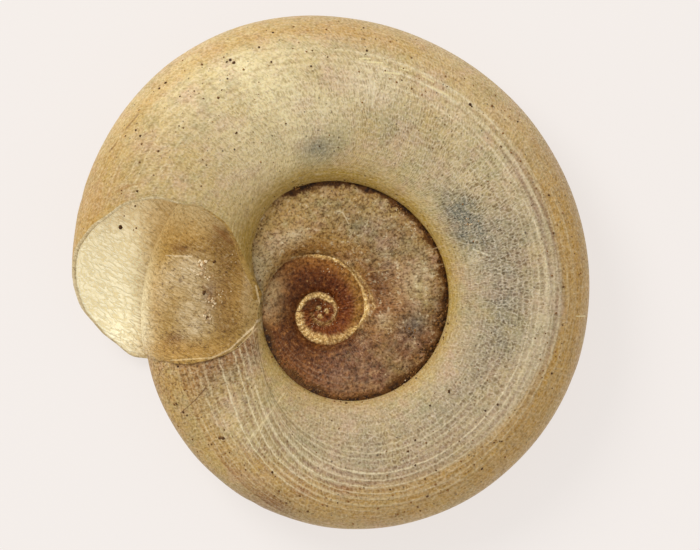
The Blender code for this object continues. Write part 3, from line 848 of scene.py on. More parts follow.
@dataclass
class ShellBody:
    """The coiled shell as one fine closed mesh: outside, nucleus, hollow, glaze and lip."""

    coil: Coil = field(default_factory=Coil)
    relief: Relief = field(default_factory=Relief)
    per_turn: int = 220
    thread_pitch: float = 0.087  # between threads, at the reference angle
    reference: float = 720.0
    strip_ends: Pair = (500.0, 580.0)
    fine_step: float = 0.25  # threads between lines on the upper side
    coarse_step: float = 0.6  # and past the outer edge
    fine_until: float = 2.1  # the course where the lines grow coarse
    hollow_from: float = 330.0
    hollow_lines: int = 52
    glaze_lines: int = 26
    lip_rings: int = 4
    lip_bulge: float = 0.5  # of the wall
    foot_bulge: float = 0.008
    glazed_from: Pair = (-2.36, -1.78)
    sharp: float = 80.0  # degrees between faces that meet in a crisp edge
    nucleus_rings: int = 16
    nucleus_glint: Pair = (0.055, 0.03)  # radius and width of a painted highlight ring round the nucleus
    skin: Skin = field(default_factory=Skin)

    def __post_init__(self) -> None:
        """Work out the columns, the lines and the distances across the coil."""
        coil, law = self.coil, self.coil.law
        self.step = 360.0 / self.per_turn
        self.last = round((law.mouth - law.start) / self.step)
        self.foot = self.last - self.per_turn
        self.nominal = law.start + self.step * np.arange(self.last + 1)
        self.courses = np.linspace(0.0, 4.0, 1601)
        radius, height = coil.outline(np.full_like(self.courses, self.reference)).at(self.courses)
        arc = np.concatenate([[0.0], np.cumsum(np.hypot(np.diff(radius), np.diff(height)))])
        self.threads = arc / self.thread_pitch
        edge, reach = np.interp([self.fine_until, 4.0], self.courses, self.threads)
        steps = round((reach - edge) / self.coarse_step)
        fine = np.arange(0.0, edge - self.fine_step, self.fine_step)
        rows = np.concatenate([fine, np.linspace(edge, reach, steps)])
        course = np.interp(rows, self.threads, self.courses)
        self.low = int(np.argmin(np.abs(course - coil.upper_course)))
        self.high = int(np.argmin(np.abs(course - coil.under_course)))
        course[self.low], course[self.high] = coil.upper_course, coil.under_course
        self.lines = coil.lines(course)

    def along(self, nominal: Array) -> Array:
        """Distance along the coil, measured on the growth spiral."""
        angle = np.linspace(-540.0, 960.0, 1501)
        travelled = np.cumsum(self.coil.law.spiral(angle)) * math.radians(1.0)
        return np.interp(nominal, angle, travelled)

    def outside_spots(self, angle: Array, outline: Outline, radius: Array) -> Spots:
        """Describe where the outside's points lie.

        Args:
            angle: their true angles, by column and line.
            outline: the sections there.
            radius: their radii.

        Returns:
            Their places.
        """
        law, shape = self.coil.law, angle.shape
        turn = np.broadcast_to(self.nominal[:, None], shape)
        thread = np.interp(self.lines.course, self.courses, self.threads)
        pitch = self.thread_pitch * law.spiral(turn) / law.spiral(np.array(self.reference))
        share = (radius - outline.seam) / (outline.edge - outline.seam)
        share = np.where(self.lines.course <= 2.0, share, 2.0 - share)
        upper = (radius - outline.seam) / (law.seam(angle + 360.0) - outline.seam)
        under = 2.0 - (radius - outline.under_seam) / (law.under_seam(angle + 360.0) - outline.under_seam)
        strip = np.where(self.lines.course <= 2.0, np.minimum(upper, 1.0), np.maximum(under, 1.0))
        across = mix(strip, share, ramp(turn, *self.strip_ends))
        away = np.minimum(np.abs(thread - thread[self.low]), np.abs(thread - thread[self.high]))
        return Spots(turn, angle, np.broadcast_to(self.along(self.nominal)[:, None], shape),
                     np.broadcast_to(thread, shape), share, across, thread * pitch, away * pitch)

    def build_outside(self) -> Array:
        """Skin the outside of every whorl.

        Returns:
            The point numbers of every column and line, -1 where a later whorl covers them.
        """
        coil, low, high = self.coil, self.low, self.high
        angle = coil.angle_at(self.nominal[:, None], self.lines)
        place = coil.place_at(self.nominal, self.lines.course)
        outline = coil.outline(angle)
        spots = self.outside_spots(angle, outline, outline.at(place)[0])
        points = spread(angle, *outline.beside(place, self.relief.height(spots)))
        column, line = np.indices(angle.shape)
        covered = (column < self.foot) & (line > low) & (line < high)
        shared = (column >= self.per_turn) & ((line == 0) | (line == angle.shape[1] - 1))
        own = ~covered & ~shared
        numbers = np.full(angle.shape, -1)
        numbers[own] = self.skin.add_points(points[own])
        for side, seam in ((0, low), (-1, high)):
            numbers[self.per_turn:, side] = numbers[:-self.per_turn, seam]
            points[self.per_turn:, side] = points[:-self.per_turn, seam]
        values = self.outside_values(spots)
        for rows, run in ((slice(None), slice(0, low + 1)), (slice(None), slice(high, None)),
                          (slice(self.foot, None), slice(low, high + 1))):
            self.skin.add_sheet(numbers[rows, run], part_of(values, (rows, run)))
        self.points, self.values = points, values
        self.close_nucleus(numbers)
        return numbers

    def outside_values(self, spots: Spots) -> Values:
        """What the outside carries at every column and line.

        Args:
            spots: where its points lie.

        Returns:
            The values by name.
        """
        turn, across = spots.turn, spots.across
        values = {"along": spots.along, "thread": spots.thread, "turn": turn / 360.0,
                  **laid(OUTSIDE_WASHES, spots.angle, across)}
        last_whorl = window(turn, 560.0, 900.0, 40.0)
        cords = np.clip(self.relief.cord_marks(spots), 0.0, 1.0)
        strengthen(values, Tint.PALE, 0.85 * cords)
        band = ramp(across - np.interp(turn, *TAN_START), 0.0, 0.1)
        # painted light: the band's first fade lightens the outer edge
        band = band * (1.0 - 0.45 * ramp(across, 0.9, 1.0) - 0.55 * ramp(across, 1.1, 1.5))
        strengthen(values, Tint.TAN, band * last_whorl * np.interp(turn, *TAN_BAND))
        ragged = 1.0 + 0.5 * np.sin(7.3 * spots.along) * np.sin(3.1 * spots.along + 1.0)
        ragged = ragged + 0.3 * np.sin(23.0 * spots.along + 2.0 * np.sin(9.0 * spots.along))
        rust = np.exp(-(spots.to_next / (0.05 * ragged)) ** 2) * window(turn, 205.0, 468.0, 25.0)
        new_side = 0.7 * np.exp(-(spots.from_seam / 0.014) ** 2) * last_whorl
        strengthen(values, Tint.RUST, np.maximum(rust, new_side))
        broad = 0.4 * np.exp(-(spots.share / 0.3) ** 2) * ramp(turn, 790.0, 840.0)
        honey = np.exp(-(spots.share / 0.085) ** 2) + broad
        strengthen(values, Tint.HONEY, np.minimum(honey, 1.0) * last_whorl * np.interp(turn, *HONEY_BAND))
        values[Tint.GILT] = self.relief.rim_over_seams(spots)
        return values

    def close_nucleus(self, numbers: Array) -> None:
        """Close the two small faces that are left round the first half whorl.

        Args:
            numbers: point numbers of every column and line.
        """
        law, turn = self.coil.law, self.per_turn
        under, _, top = law.heights(np.array(law.start - 180.0))
        aside = 0.5 * float(law.seam(np.array(law.start)))
        last = numbers.shape[1] - 1
        for end, seam, height, flip in ((0, self.low, top, False), (last, self.high, under, True)):
            side = np.linspace(seam, end, abs(seam - end) + 1).astype(int)
            rows = np.concatenate([np.arange(turn), np.zeros(len(side), int)])
            cols = np.concatenate([np.full(turn, end), side])
            hub = np.array([0.0, aside, float(height)])
            share = np.arange(self.nucleus_rings)[:, None] / self.nucleus_rings
            loop = self.points[rows, cols]
            points = mix(loop, hub, share[..., None])
            lumps = np.sin(83.0 * points[..., 0]) * np.cos(71.0 * points[..., 1] + 0.5) * (share > 0.1)
            inward = share * np.linalg.norm(loop - hub, axis=1)
            rim = self.relief.rim_marks(self.nominal[rows], -inward) * (cols == end) * (not flip)
            points[..., 2] += self.relief.lump * lumps + self.relief.rim * rim * (share > 0.0)
            inner = self.skin.add_points(points[1:, :-1])
            rings = np.concatenate([numbers[rows, cols][None], np.concatenate([inner, inner[:, :1]], axis=1)])
            loop_values = part_of(self.values, (rows, cols))
            values = {name: np.broadcast_to(value, rings.shape) for name, value in loop_values.items()}
            radius, width = self.nucleus_glint
            # painted highlight: a broken bright ring round the nucleus
            glint = np.exp(-((np.hypot(points[..., 0], points[..., 1]) - radius) / width) ** 2)
            glint = glint * (0.5 + 0.5 * np.sin(3.0 * np.arctan2(points[..., 1], points[..., 0]) + 1.0))
            values[Tint.GILT] = np.maximum(rim, 0.8 * glint)
            self.skin.add_sheet(rings, dict(values), flip)
            self.skin.add_fan(rings[-1], hub, part_of(values, -1), flip)

    def hollow_lines_round(self) -> tuple[Lines, Lines, Array]:
        """The lines round the hollow.

        Returns:
            Those on the wall, those on the glaze, and the share of the way down of the latter.
        """
        coil = self.coil
        wall = coil.lines(np.linspace(0.0, 4.0, self.hollow_lines + 1))
        share = np.linspace(0.0, 1.0, self.glaze_lines + 2)
        middle = mix(coil.upper_course, coil.under_course, share)[1:-1]
        glaze = coil.lines(np.concatenate([[0.0], middle, [4.0]]))
        parts = (part[-2:0:-1] for part in (glaze.course, glaze.mouth_lag, glaze.foot_lag))
        return wall, Lines(*parts), share[-2:0:-1]

    def build_hollow(self) -> Array:
        """Skin the hollow from its closed end to the mouth.

        Returns:
            The point numbers of its last ring, the first repeated.
        """
        coil = self.coil
        wall, glaze, share = self.hollow_lines_round()
        nominal = self.nominal[round((self.hollow_from - coil.law.start) / self.step):]
        angle = coil.angle_at(nominal[:, None], wall)
        place = coil.place_at(nominal, wall.course)
        wall_points = spread(angle, *coil.hollow_outline(angle).at(place, coil.wall))
        back = coil.angle_at(nominal[:, None] - 360.0, glaze)
        upper, under = (coil.corner(back + 360.0, side)[0] for side in (True, False))
        over_whorl = coil.outline(back).beside(mix(upper, under, share), coil.callus)
        points = np.concatenate([wall_points, spread(back, *over_whorl)], axis=1)
        numbers = self.skin.add_points(points)
        numbers = np.concatenate([numbers, numbers[:, :1]], axis=1)
        points = np.concatenate([points, points[:, :1]], axis=1)
        self.ring_at = np.concatenate([wall.course, 7.0 - 3.0 * share, [7.0]])  # wall to 4, glaze to 7
        values = self.hollow_values(nominal, points)
        self.skin.add_sheet(numbers, dict(values), flip=True)
        end = coil.outline(np.array([self.hollow_from]))
        hub = spread(np.array(self.hollow_from), mix(end.seam, end.edge, 0.75)[0], end.middle[0])
        self.skin.add_fan(numbers[0], hub, part_of(values, 0))
        self.hollow_end, self.hollow_end_values = points[-1], part_of(values, -1)
        return numbers[-1]

    def hollow_values(self, nominal: Array, points: Array) -> Values:
        """What the hollow carries.

        Args:
            nominal: nominal angles of its columns.
            points: its points, by column and place round the ring.

        Returns:
            The values by name.
        """
        shape = points.shape[:2]
        values = {"along": np.broadcast_to(self.along(nominal)[:, None], shape),
                  "thread": np.broadcast_to(8.0 * self.ring_at, shape),
                  "turn": np.broadcast_to(nominal[:, None] / 360.0, shape),
                  **laid(INSIDE_WASHES, points[..., 0], points[..., 1])}
        thinner = 1.0 - 0.3 * ramp(points[..., 1], 0.7, 1.2)
        values[Tint.GLAZE] = ramp(points[..., 0], *self.glazed_from) * thinner
        return values

    def build_lip(self, numbers: Array, hollow: Array) -> None:
        """Round the lip and the glaze's edge over from the outside to the hollow.

        Args:
            numbers: point numbers of the outside.
            hollow: point numbers of the hollow's last ring.
        """
        last, foot, low, high = self.last, self.foot, self.low, self.high
        course, count = self.lines.course, numbers.shape[1]
        rows = np.concatenate([np.full(count, last), np.full(high - low, foot)])
        cols = np.concatenate([np.arange(count), np.arange(high - 1, low - 1, -1)])
        at_foot = rows == foot
        down = (course[high] - course[cols]) / (course[high] - course[low])
        place = np.where(at_foot, 4.0 + 3.0 * down, course[cols])
        outer, ahead = self.points[rows, cols], self.points[rows, cols] - self.points[rows - 1, cols]
        ahead[at_foot] = (self.points[foot + 1] - self.points[foot])[cols[at_foot]]
        ahead /= np.linalg.norm(ahead, axis=1, keepdims=True)
        bulge = np.where(at_foot, self.foot_bulge, self.lip_bulge * self.coil.wall)[:, None]
        inner = np.stack([np.interp(place, self.ring_at, self.hollow_end[:, k]) for k in range(3)], axis=1)
        rings, values = [numbers[rows, cols]], part_of(self.values, (rows, cols))
        for k in range(1, self.lip_rings):
            share = k / self.lip_rings
            ring = mix(outer, inner, share) + ahead * bulge * math.sin(math.pi * share)
            ring = self.skin.add_points(ring[:-1])
            rings.append(np.append(ring, ring[0]))
        free = window(place, 1.0, 3.0, 0.4)
        values[Tint.PALE] = np.where(at_foot, 0.15, 0.0)
        values[Tint.GLAZE] = np.where(at_foot, 1.0, 1.0 - 0.35 * free)
        self.skin.add_sheet(np.stack(rings), dict(values))
        self.skin.add_zip((rings[-1], place, values), (hollow, self.ring_at, self.hollow_end_values))

    def build(self) -> bpy.types.Object:
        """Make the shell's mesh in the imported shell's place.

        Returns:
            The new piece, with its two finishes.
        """
        numbers = self.build_outside()
        self.skin.finish = 1
        self.build_lip(numbers, self.build_hollow())
        low, high = self.skin.box()
        box = [np.array(corner) / MM for corner in CAD_BOX]
        middle = 0.5 * (low + high)
        self.shift = np.array([-middle[0], -middle[1], -low[2]])
        self.scale = min(1.0, float(np.min((box[1] - box[0]) / (high - low))))
        self.shift += 0.5 * (box[0] + box[1]) * (1.0, 1.0, 0.0) / self.scale
        shell = self.skin.to_object("coiled_shell", self.shift, self.scale)
        self.nucleus = tuple(self.shift[:2] * self.scale)
        shell.data.materials.append(OuterWall(self.nucleus).build())
        shell.data.materials.append(Lining(self.nucleus).build())
        shell.data.set_sharp_from_angle(angle=math.radians(self.sharp))
        return shell


@dataclass(frozen=True)
class Mark:
    """A scratch or a crack: where it runs, in millimetres from the nucleus, and how it looks."""

    start: Pair
    end: Pair
    width: float
    strength: float
    tone: Colour


def marks(tone: Colour, *rows: tuple[float, ...]) -> tuple[Mark, ...]:
    """Marks of one tone, from rows of where they start and end, their width and their strength."""
    return tuple(Mark(row[:2], row[2:4], row[4], row[5], tone) for row in rows)


# each row says where the mark starts and ends, how wide it is and how strong
OUTSIDE_MARKS = (
    *marks((92, 58, 26), (-1.34, -0.88, -1.46, -1.02, 0.012, 0.7), (-1.46, -1.02, -1.63, -1.17, 0.009, 0.6)),
    *marks((130, 94, 46), (-2.11, 2.28, -2.25, 2.12, 0.014, 0.6)),
    *marks((140, 100, 50), (-2.37, 1.94, -2.45, 1.84, 0.012, 0.5)),
    *marks((160, 118, 62), (-2.36, 1.38, -2.22, 1.45, 0.026, 0.5), (-2.22, 1.45, -2.05, 1.49, 0.02, 0.4)),
    *marks((244, 226, 170), (2.94, -0.05, 3.07, -0.05, 0.012, 0.8)),
    *marks((228, 206, 166), (0.24, 1.15, 0.28, 1.08, 0.014, 0.6), (0.28, 1.08, 0.32, 1.0, 0.009, 0.5)),
    *marks((206, 168, 110), (0.54, 0.46, 0.79, 0.49, 0.009, 0.5)),
    *marks((236, 218, 170), (-0.43, -0.94, -0.62, -1.2, 0.016, 0.35), (-0.62, -1.2, -0.87, -1.52, 0.02, 0.4)),
    *marks((244, 232, 200), (0.56, 2.7, 0.54, 2.52, 0.016, 0.35), (0.61, 2.62, 0.58, 2.36, 0.02, 0.3)),
    *marks((240, 228, 196), (1.75, 0.72, 1.81, 0.7, 0.016, 0.5), (1.85, 0.68, 1.91, 0.66, 0.016, 0.5)),
    *marks((242, 226, 172),
           (0.44, 2.92, 0.56, 2.92, 0.014, 0.7), (0.53, 2.88, 0.7, 2.87, 0.014, 0.7),
           (0.73, 2.76, 0.9, 2.74, 0.016, 0.7), (0.9, 2.81, 1.0, 2.78, 0.014, 0.7),
           (1.16, 2.72, 1.29, 2.65, 0.014, 0.6), (1.27, 2.59, 1.45, 2.5, 0.014, 0.6)),
    *marks((206, 178, 130), (1.54, 0.61, 1.38, 0.66, 0.012, 0.5)),
    *marks((214, 184, 138), (1.2, 0.7, 1.42, 0.77, 0.012, 0.5)),
    *marks((206, 176, 130), (1.16, 0.52, 1.4, 0.55, 0.01, 0.4)),
    *marks((214, 192, 150), (-0.98, -0.1, -1.1, 0.05, 0.02, 0.5)),
    *marks((226, 200, 158), (-0.6, -0.02, -0.76, -0.12, 0.022, 0.8)),
    *marks((226, 200, 156), (-0.76, -0.12, -0.96, -0.36, 0.018, 0.8)),
    *marks((214, 186, 142), (-0.66, -0.1, -0.84, -0.28, 0.012, 0.6), (-0.6, -0.02, -0.68, 0.1, 0.014, 0.6)),
)
INSIDE_MARKS = (
    *marks((126, 84, 38), (-1.24, 0.98, -1.12, 0.86, 0.04, 0.5)),
    *marks((122, 82, 36), (-1.14, 0.9, -1.02, 0.79, 0.05, 0.5)),
    *marks((120, 84, 42), (-1.37, 0.3, -1.28, 0.18, 0.026, 0.4)),
    *marks((126, 88, 46), (-1.34, 0.55, -1.38, 0.4, 0.022, 0.35)),
    *marks((222, 200, 156),
           (-0.76, 0.3, -0.7, 0.02, 0.014, 0.6), (-0.7, 0.02, -0.8, -0.24, 0.014, 0.5),
           (-0.66, 0.22, -0.62, 0.0, 0.01, 0.5)),
    *marks((216, 200, 168), (-1.8, 0.65, -1.5, 0.64, 0.011, 0.4)),
    *marks((228, 204, 162), (-0.66, -0.06, -0.9, -0.28, 0.018, 0.7)),
    *marks((226, 200, 156),
           (-0.9, -0.28, -1.06, -0.43, 0.015, 0.55), (-1.06, -0.43, -1.26, -0.53, 0.014, 0.5)),
    *marks((222, 196, 150), (-0.72, -0.16, -0.98, -0.42, 0.012, 0.4)),
    *marks((228, 202, 150), (-1.26, -0.53, -1.74, -0.56, 0.014, 0.4)),
)

class Wiring:
    """A node tree in the making, with short ways to add what the finishes need."""

    def __init__(self, tree: bpy.types.NodeTree) -> None:
        """Start on an empty or a fresh tree."""
        self.tree = tree

    def feed(self, node: bpy.types.Node, sockets: dict[str | int, Feed]) -> None:
        """Link or set some of a node's inputs.

        Args:
            node: the node.
            sockets: another node's output or a value, by the input's name or number.
        """
        for key, value in sockets.items():
            if isinstance(value, Socket):
                self.tree.links.new(value, node.inputs[key])
            else:
                node.inputs[key].default_value = value

    def add(self, kind: str, sockets: dict[str | int, Feed], **settings: object) -> bpy.types.Node:
        """Add one node.

        Args:
            kind: the node's type.
            sockets: what goes into its inputs.
            settings: the node's own settings.

        Returns:
            The node.
        """
        node = self.tree.nodes.new(kind)
        for name, value in settings.items():
            setattr(node, name, value)
        self.feed(node, sockets)
        return node

    def carried(self, name: str) -> Socket:
        """What the mesh's corners carry under a name."""
        return self.add("ShaderNodeAttribute", {}, attribute_name=name).outputs["Fac"]

    def math(self, operation: str, *values: Feed) -> Socket:
        """One step of arithmetic."""
        return self.add("ShaderNodeMath", dict(enumerate(values)), operation=operation).outputs[0]

    def times(self, first: Feed, second: Feed, *plus: Feed) -> Socket:
        """The product of two values, with a third added if it's given."""
        return self.math("MULTIPLY_ADD" if plus else "MULTIPLY", first, second, *plus)

    def rest(self, share: Feed) -> Socket:
        """What a share leaves of 1."""
        return self.math("SUBTRACT", 1.0, share)

    def wave(self, row: Socket) -> Socket:
        """Swing from 1 at each whole number to 0 between."""
        return self.times(self.math("COSINE", self.times(row, 2.0 * math.pi)), 0.5, 0.5)

    def limit(self, value: Socket) -> Socket:
        """Keep a value between 0 and 1."""
        return self.add("ShaderNodeClamp", {0: value}).outputs[0]

    def rise(self, value: Feed, low: Feed, high: Feed, start: Feed = 0.0, end: Feed = 1.0) -> Socket:
        """Go smoothly from start to end as a value goes from low to high."""
        sockets = {0: value, 1: low, 2: high, 3: start, 4: end}
        return self.add("ShaderNodeMapRange", sockets, interpolation_type="SMOOTHSTEP").outputs[0]

    def blend(self, share: Feed, first: Feed, second: Feed, way: str = "MIX") -> Socket:
        """Blend two colours, or lay the second over the first in another way."""
        sockets = {0: share, 6: first, 7: second}
        return self.add("ShaderNodeMix", sockets, data_type="RGBA", blend_type=way).outputs[2]

    def lay(self, colour: Socket, tone: Socket | Colour, *shares: Feed) -> Socket:
        """Lay a tone over a colour, by the product of some shares."""
        over = tone if isinstance(tone, Socket) else srgb(tone)
        return self.blend(reduce(self.times, shares), colour, over)

    def darken(self, colour: Socket, tone: Colour) -> Socket:
        """See a colour through a darker one."""
        return self.blend(1.0, colour, srgb(tone), "MULTIPLY")

    def vector(self, x: Feed, y: Feed) -> Socket:
        """A flat place from two values."""
        return self.add("ShaderNodeCombineXYZ", {0: x, 1: y}).outputs[0]

    def arrows(self, operation: str, *values: Feed, gives: str = "Vector") -> Socket:
        """One step of arithmetic with places and directions."""
        return self.add("ShaderNodeVectorMath", dict(enumerate(values)), operation=operation).outputs[gives]

    def scaled(self, vector: Socket, gain: float) -> Socket:
        """A place or a colour times a number."""
        return self.add("ShaderNodeVectorMath", {0: vector, "Scale": gain}, operation="SCALE").outputs[0]

    def noise(self, place: Socket, scale: Feed, detail: float = 2.0, rough: float = 0.5) -> Socket:
        """Soft noise of a given number of waves for each unit of place."""
        sockets = {"Vector": place, "Scale": scale, "Detail": detail, "Roughness": rough}
        return self.add("ShaderNodeTexNoise", sockets, noise_dimensions="3D").outputs["Fac"]

    def effect(self, name: str, sockets: dict[str, Feed]) -> Sockets:
        """Place one of the shared effects and hand over its outputs."""
        return dict(self.add("ShaderNodeGroup", sockets, node_tree=bpy.data.node_groups[name]).outputs.items())


class Paint(Wiring):
    """A material in the making."""

    def __init__(self, name: str) -> None:
        """Start on a fresh material."""
        self.material = bpy.data.materials.new(name)
        self.material.use_nodes = True
        super().__init__(self.material.node_tree)

    @cached_property
    def place(self) -> Socket:
        """The object's own place, in millimetres."""
        return self.scaled(self.add("ShaderNodeTexCoord", {}).outputs["Object"], 1.0 / MM)

    def grain(self, scale: float, detail: float = 2.0, rough: float = 0.5) -> Socket:
        """Soft noise of a given number of waves for each millimetre."""
        return self.noise(self.place, scale, detail, rough)

    def marked(self, colour: Socket, marks: tuple[Mark, ...], nucleus: Pair) -> Socket:
        """Draw marks over a colour.

        Args:
            colour: the colour so far.
            marks: the marks.
            nucleus: the place that they are measured from, in millimetres.

        Returns:
            The marked colour.
        """
        around = self.arrows("SUBTRACT", self.place, (*nucleus, 0.0))
        for mark in marks:
            sockets = {"Place": around, "From": (*mark.start, 0.0), "To": (*mark.end, 0.0), "Width": mark.width}
            colour = self.lay(colour, mark.tone, self.effect("scratch", sockets)["Mask"], mark.strength)
        return colour

    def relief(self, height: Socket, depth: float) -> Socket:
        """The way the surface faces with a fine relief of a depth in metres on it."""
        return self.add("ShaderNodeBump", {"Height": height, "Strength": 1.0, "Distance": depth}).outputs[0]

    def coat(self, sockets: dict[str, Feed]) -> bpy.types.Material:
        """Feed the shader, and hand over the material."""
        self.feed(self.tree.nodes["Principled BSDF"], sockets)
        return self.material


@dataclass(frozen=True)
class Effect:
    """A node group that several finishes share."""

    name: str
    takes: dict[str, float | None]  # a number's usual value, or None for a place
    wire: Callable[[Wiring, Sockets], Sockets]

    def build(self) -> None:
        """Make the group."""
        group = bpy.data.node_groups.new(self.name, "ShaderNodeTree")
        for name, usual in self.takes.items():
            kind = "NodeSocketVector" if usual is None else "NodeSocketFloat"
            socket = group.interface.new_socket(name, in_out="INPUT", socket_type=kind)
            if usual is not None:
                socket.default_value = usual
        w = Wiring(group)
        results = self.wire(w, dict(w.add("NodeGroupInput", {}).outputs.items()))
        for name in results:
            group.interface.new_socket(name, in_out="OUTPUT", socket_type="NodeSocketFloat")
        w.add("NodeGroupOutput", results)


def wire_threads(w: Wiring, given: Sockets) -> Sockets:
    """Spiral threads: fine ridges that run along the coil, each with its own strength.

    Args:
        w: the group's tree.
        given: what the group takes.

    Returns:
        What it gives.
    """
    thread, along = given["Thread"], given["Along"]
    stretch = w.vector(w.times(thread, 0.8), w.times(along, 0.9))
    waver = w.math("SUBTRACT", w.noise(w.vector(thread, w.times(along, 5.0)), 1.0, 3.0, 0.6), 0.5)
    phase = w.times(waver, given["Waver"], thread)
    results = {}
    for name, closeness, sharpness, low in (("Crest", 1.0, 6.5, 0.36), ("Fine", 2.3, 3.0, 0.4)):
        row = w.times(phase, closeness)
        wave = w.wave(row)
        own = w.add("ShaderNodeTexWhiteNoise", {"W": w.math("ROUND", row)}, noise_dimensions="1D")
        lively = w.times(own.outputs["Value"], 0.55, w.noise(stretch, closeness, 4.0, 0.7))
        results[name] = w.times(w.math("POWER", wave, sharpness), w.rise(lively, low, 1.0))
        if name == "Crest":
            hollow = w.math("POWER", w.rest(wave), 2.0)
            results["Groove"] = w.times(hollow, w.rise(w.noise(stretch, 1.7, 3.0, 0.6), 0.4, 0.62))
    return results


def wire_growth(w: Wiring, given: Sockets) -> Sockets:
    """Growth lines: fine ridges that run across the coil, one behind another.

    Args:
        w: the group's tree.
        given: what the group takes.

    Returns:
        What it gives.
    """
    thread, along = given["Thread"], given["Along"]
    waver = w.math("SUBTRACT", w.noise(w.vector(w.times(thread, 0.55), w.times(along, 9.0)), 1.0), 0.5)
    wave = w.wave(w.times(waver, given["Waver"], w.math("DIVIDE", along, given["Pitch"])))
    lively = w.noise(w.vector(w.times(thread, 0.16), w.times(along, 5.1)), 1.0, 4.0, 0.75)
    return {"Line": w.times(w.math("POWER", wave, 2.0), w.rise(lively, 0.4, 0.7)), "Wave": wave}


def wire_net(w: Wiring, given: Sockets) -> Sockets:
    """An uneven fine net of threads and growth lines, each hole with its own tone.

    Args:
        w: the group's tree.
        given: what the group takes.

    Returns:
        What it gives.
    """
    across = w.times(given["Thread"], given["Closeness"])
    rows = w.math("DIVIDE", given["Along"], given["Pitch"])
    loose = w.noise(w.vector(w.times(across, 0.7), w.times(rows, 0.7)), 1.0, 2.0, 0.6)
    place = w.vector(w.times(loose, 1.6, across), w.times(loose, -1.6, rows))
    sockets = {"Vector": place, "Scale": 1.0, "Randomness": 0.8}
    border = w.add("ShaderNodeTexVoronoi", sockets, voronoi_dimensions="2D", feature="DISTANCE_TO_EDGE")
    hole = w.add("ShaderNodeTexVoronoi", sockets, voronoi_dimensions="2D")
    own = w.add("ShaderNodeSeparateColor", {0: hole.outputs["Color"]}).outputs[0]
    return {"Ridge": w.rise(border.outputs["Distance"], 0.0, 0.3, 1.0, 0.0), "Own": own}


def wire_scratch(w: Wiring, given: Sockets) -> Sockets:
    """One fine ragged mark from a place to another on the upper side.

    Args:
        w: the group's tree.
        given: what the group takes.

    Returns:
        What it gives.
    """
    parts = w.add("ShaderNodeSeparateXYZ", {0: given["Place"]}).outputs
    reach = w.arrows("SUBTRACT", given["To"], given["From"])
    apart = w.arrows("SUBTRACT", w.vector(parts[0], parts[1]), given["From"])
    share = w.limit(w.math("DIVIDE", w.arrows("DOT_PRODUCT", apart, reach, gives="Value"),
                           w.arrows("DOT_PRODUCT", reach, reach, gives="Value")))
    nearest = w.arrows("MULTIPLY", reach, w.vector(share, share))
    distance = w.arrows("DISTANCE", apart, nearest, gives="Value")
    width = w.times(given["Width"], w.times(w.noise(given["Place"], 16.0, 4.0, 0.8), 2.8, -0.5))
    line = w.rise(w.math("DIVIDE", distance, width), 0.35, 1.1, 1.0, 0.0)
    return {"Mask": w.times(line, w.rise(parts[2], 0.8, 0.9))}


def wire_specks(w: Wiring, given: Sockets) -> Sockets:
    """Small round specks, one at most in each cell.

    Args:
        w: the group's tree.
        given: what the group takes.

    Returns:
        What it gives.
    """
    sockets = {"Vector": given["Place"], "Scale": w.math("DIVIDE", 1.0, given["Cell"])}
    cell = w.add("ShaderNodeTexVoronoi", sockets)
    parts = w.add("ShaderNodeSeparateColor", {0: cell.outputs["Color"]}).outputs
    reach = w.times(given["Size"], w.times(parts[1], 0.7, 0.3))
    inside = w.rise(w.math("DIVIDE", cell.outputs["Distance"], reach), 0.6, 1.15, 1.0, 0.0)
    return {"Mask": w.times(inside, w.math("LESS_THAN", parts[0], given["Share"]))}


def wire_clouds(w: Wiring, given: Sockets) -> Sockets:
    """Soft uneven patches of about one size."""
    cloud = w.noise(given["Place"], w.math("DIVIDE", 1.0, given["Reach"]), 3.0, 0.6)
    return {"Mask": w.rise(cloud, given["Low"], given["High"])}


EFFECTS = (
    Effect("spiral_threads", {"Thread": 0.0, "Along": 0.0, "Waver": 0.6}, wire_threads),
    Effect("fine_net", {"Thread": 0.0, "Along": 0.0, "Closeness": 1.45, "Pitch": 0.06}, wire_net),
    Effect("scratch", {"Place": None, "From": None, "To": None, "Width": 0.012}, wire_scratch),
    Effect("growth_lines", {"Thread": 0.0, "Along": 0.0, "Pitch": 0.05, "Waver": 1.0}, wire_growth),
    Effect("specks", {"Place": None, "Cell": 0.1, "Size": 0.3, "Share": 0.3}, wire_specks),
    Effect("clouds", {"Place": None, "Reach": 0.5, "Low": 0.35, "High": 0.65}, wire_clouds),
)


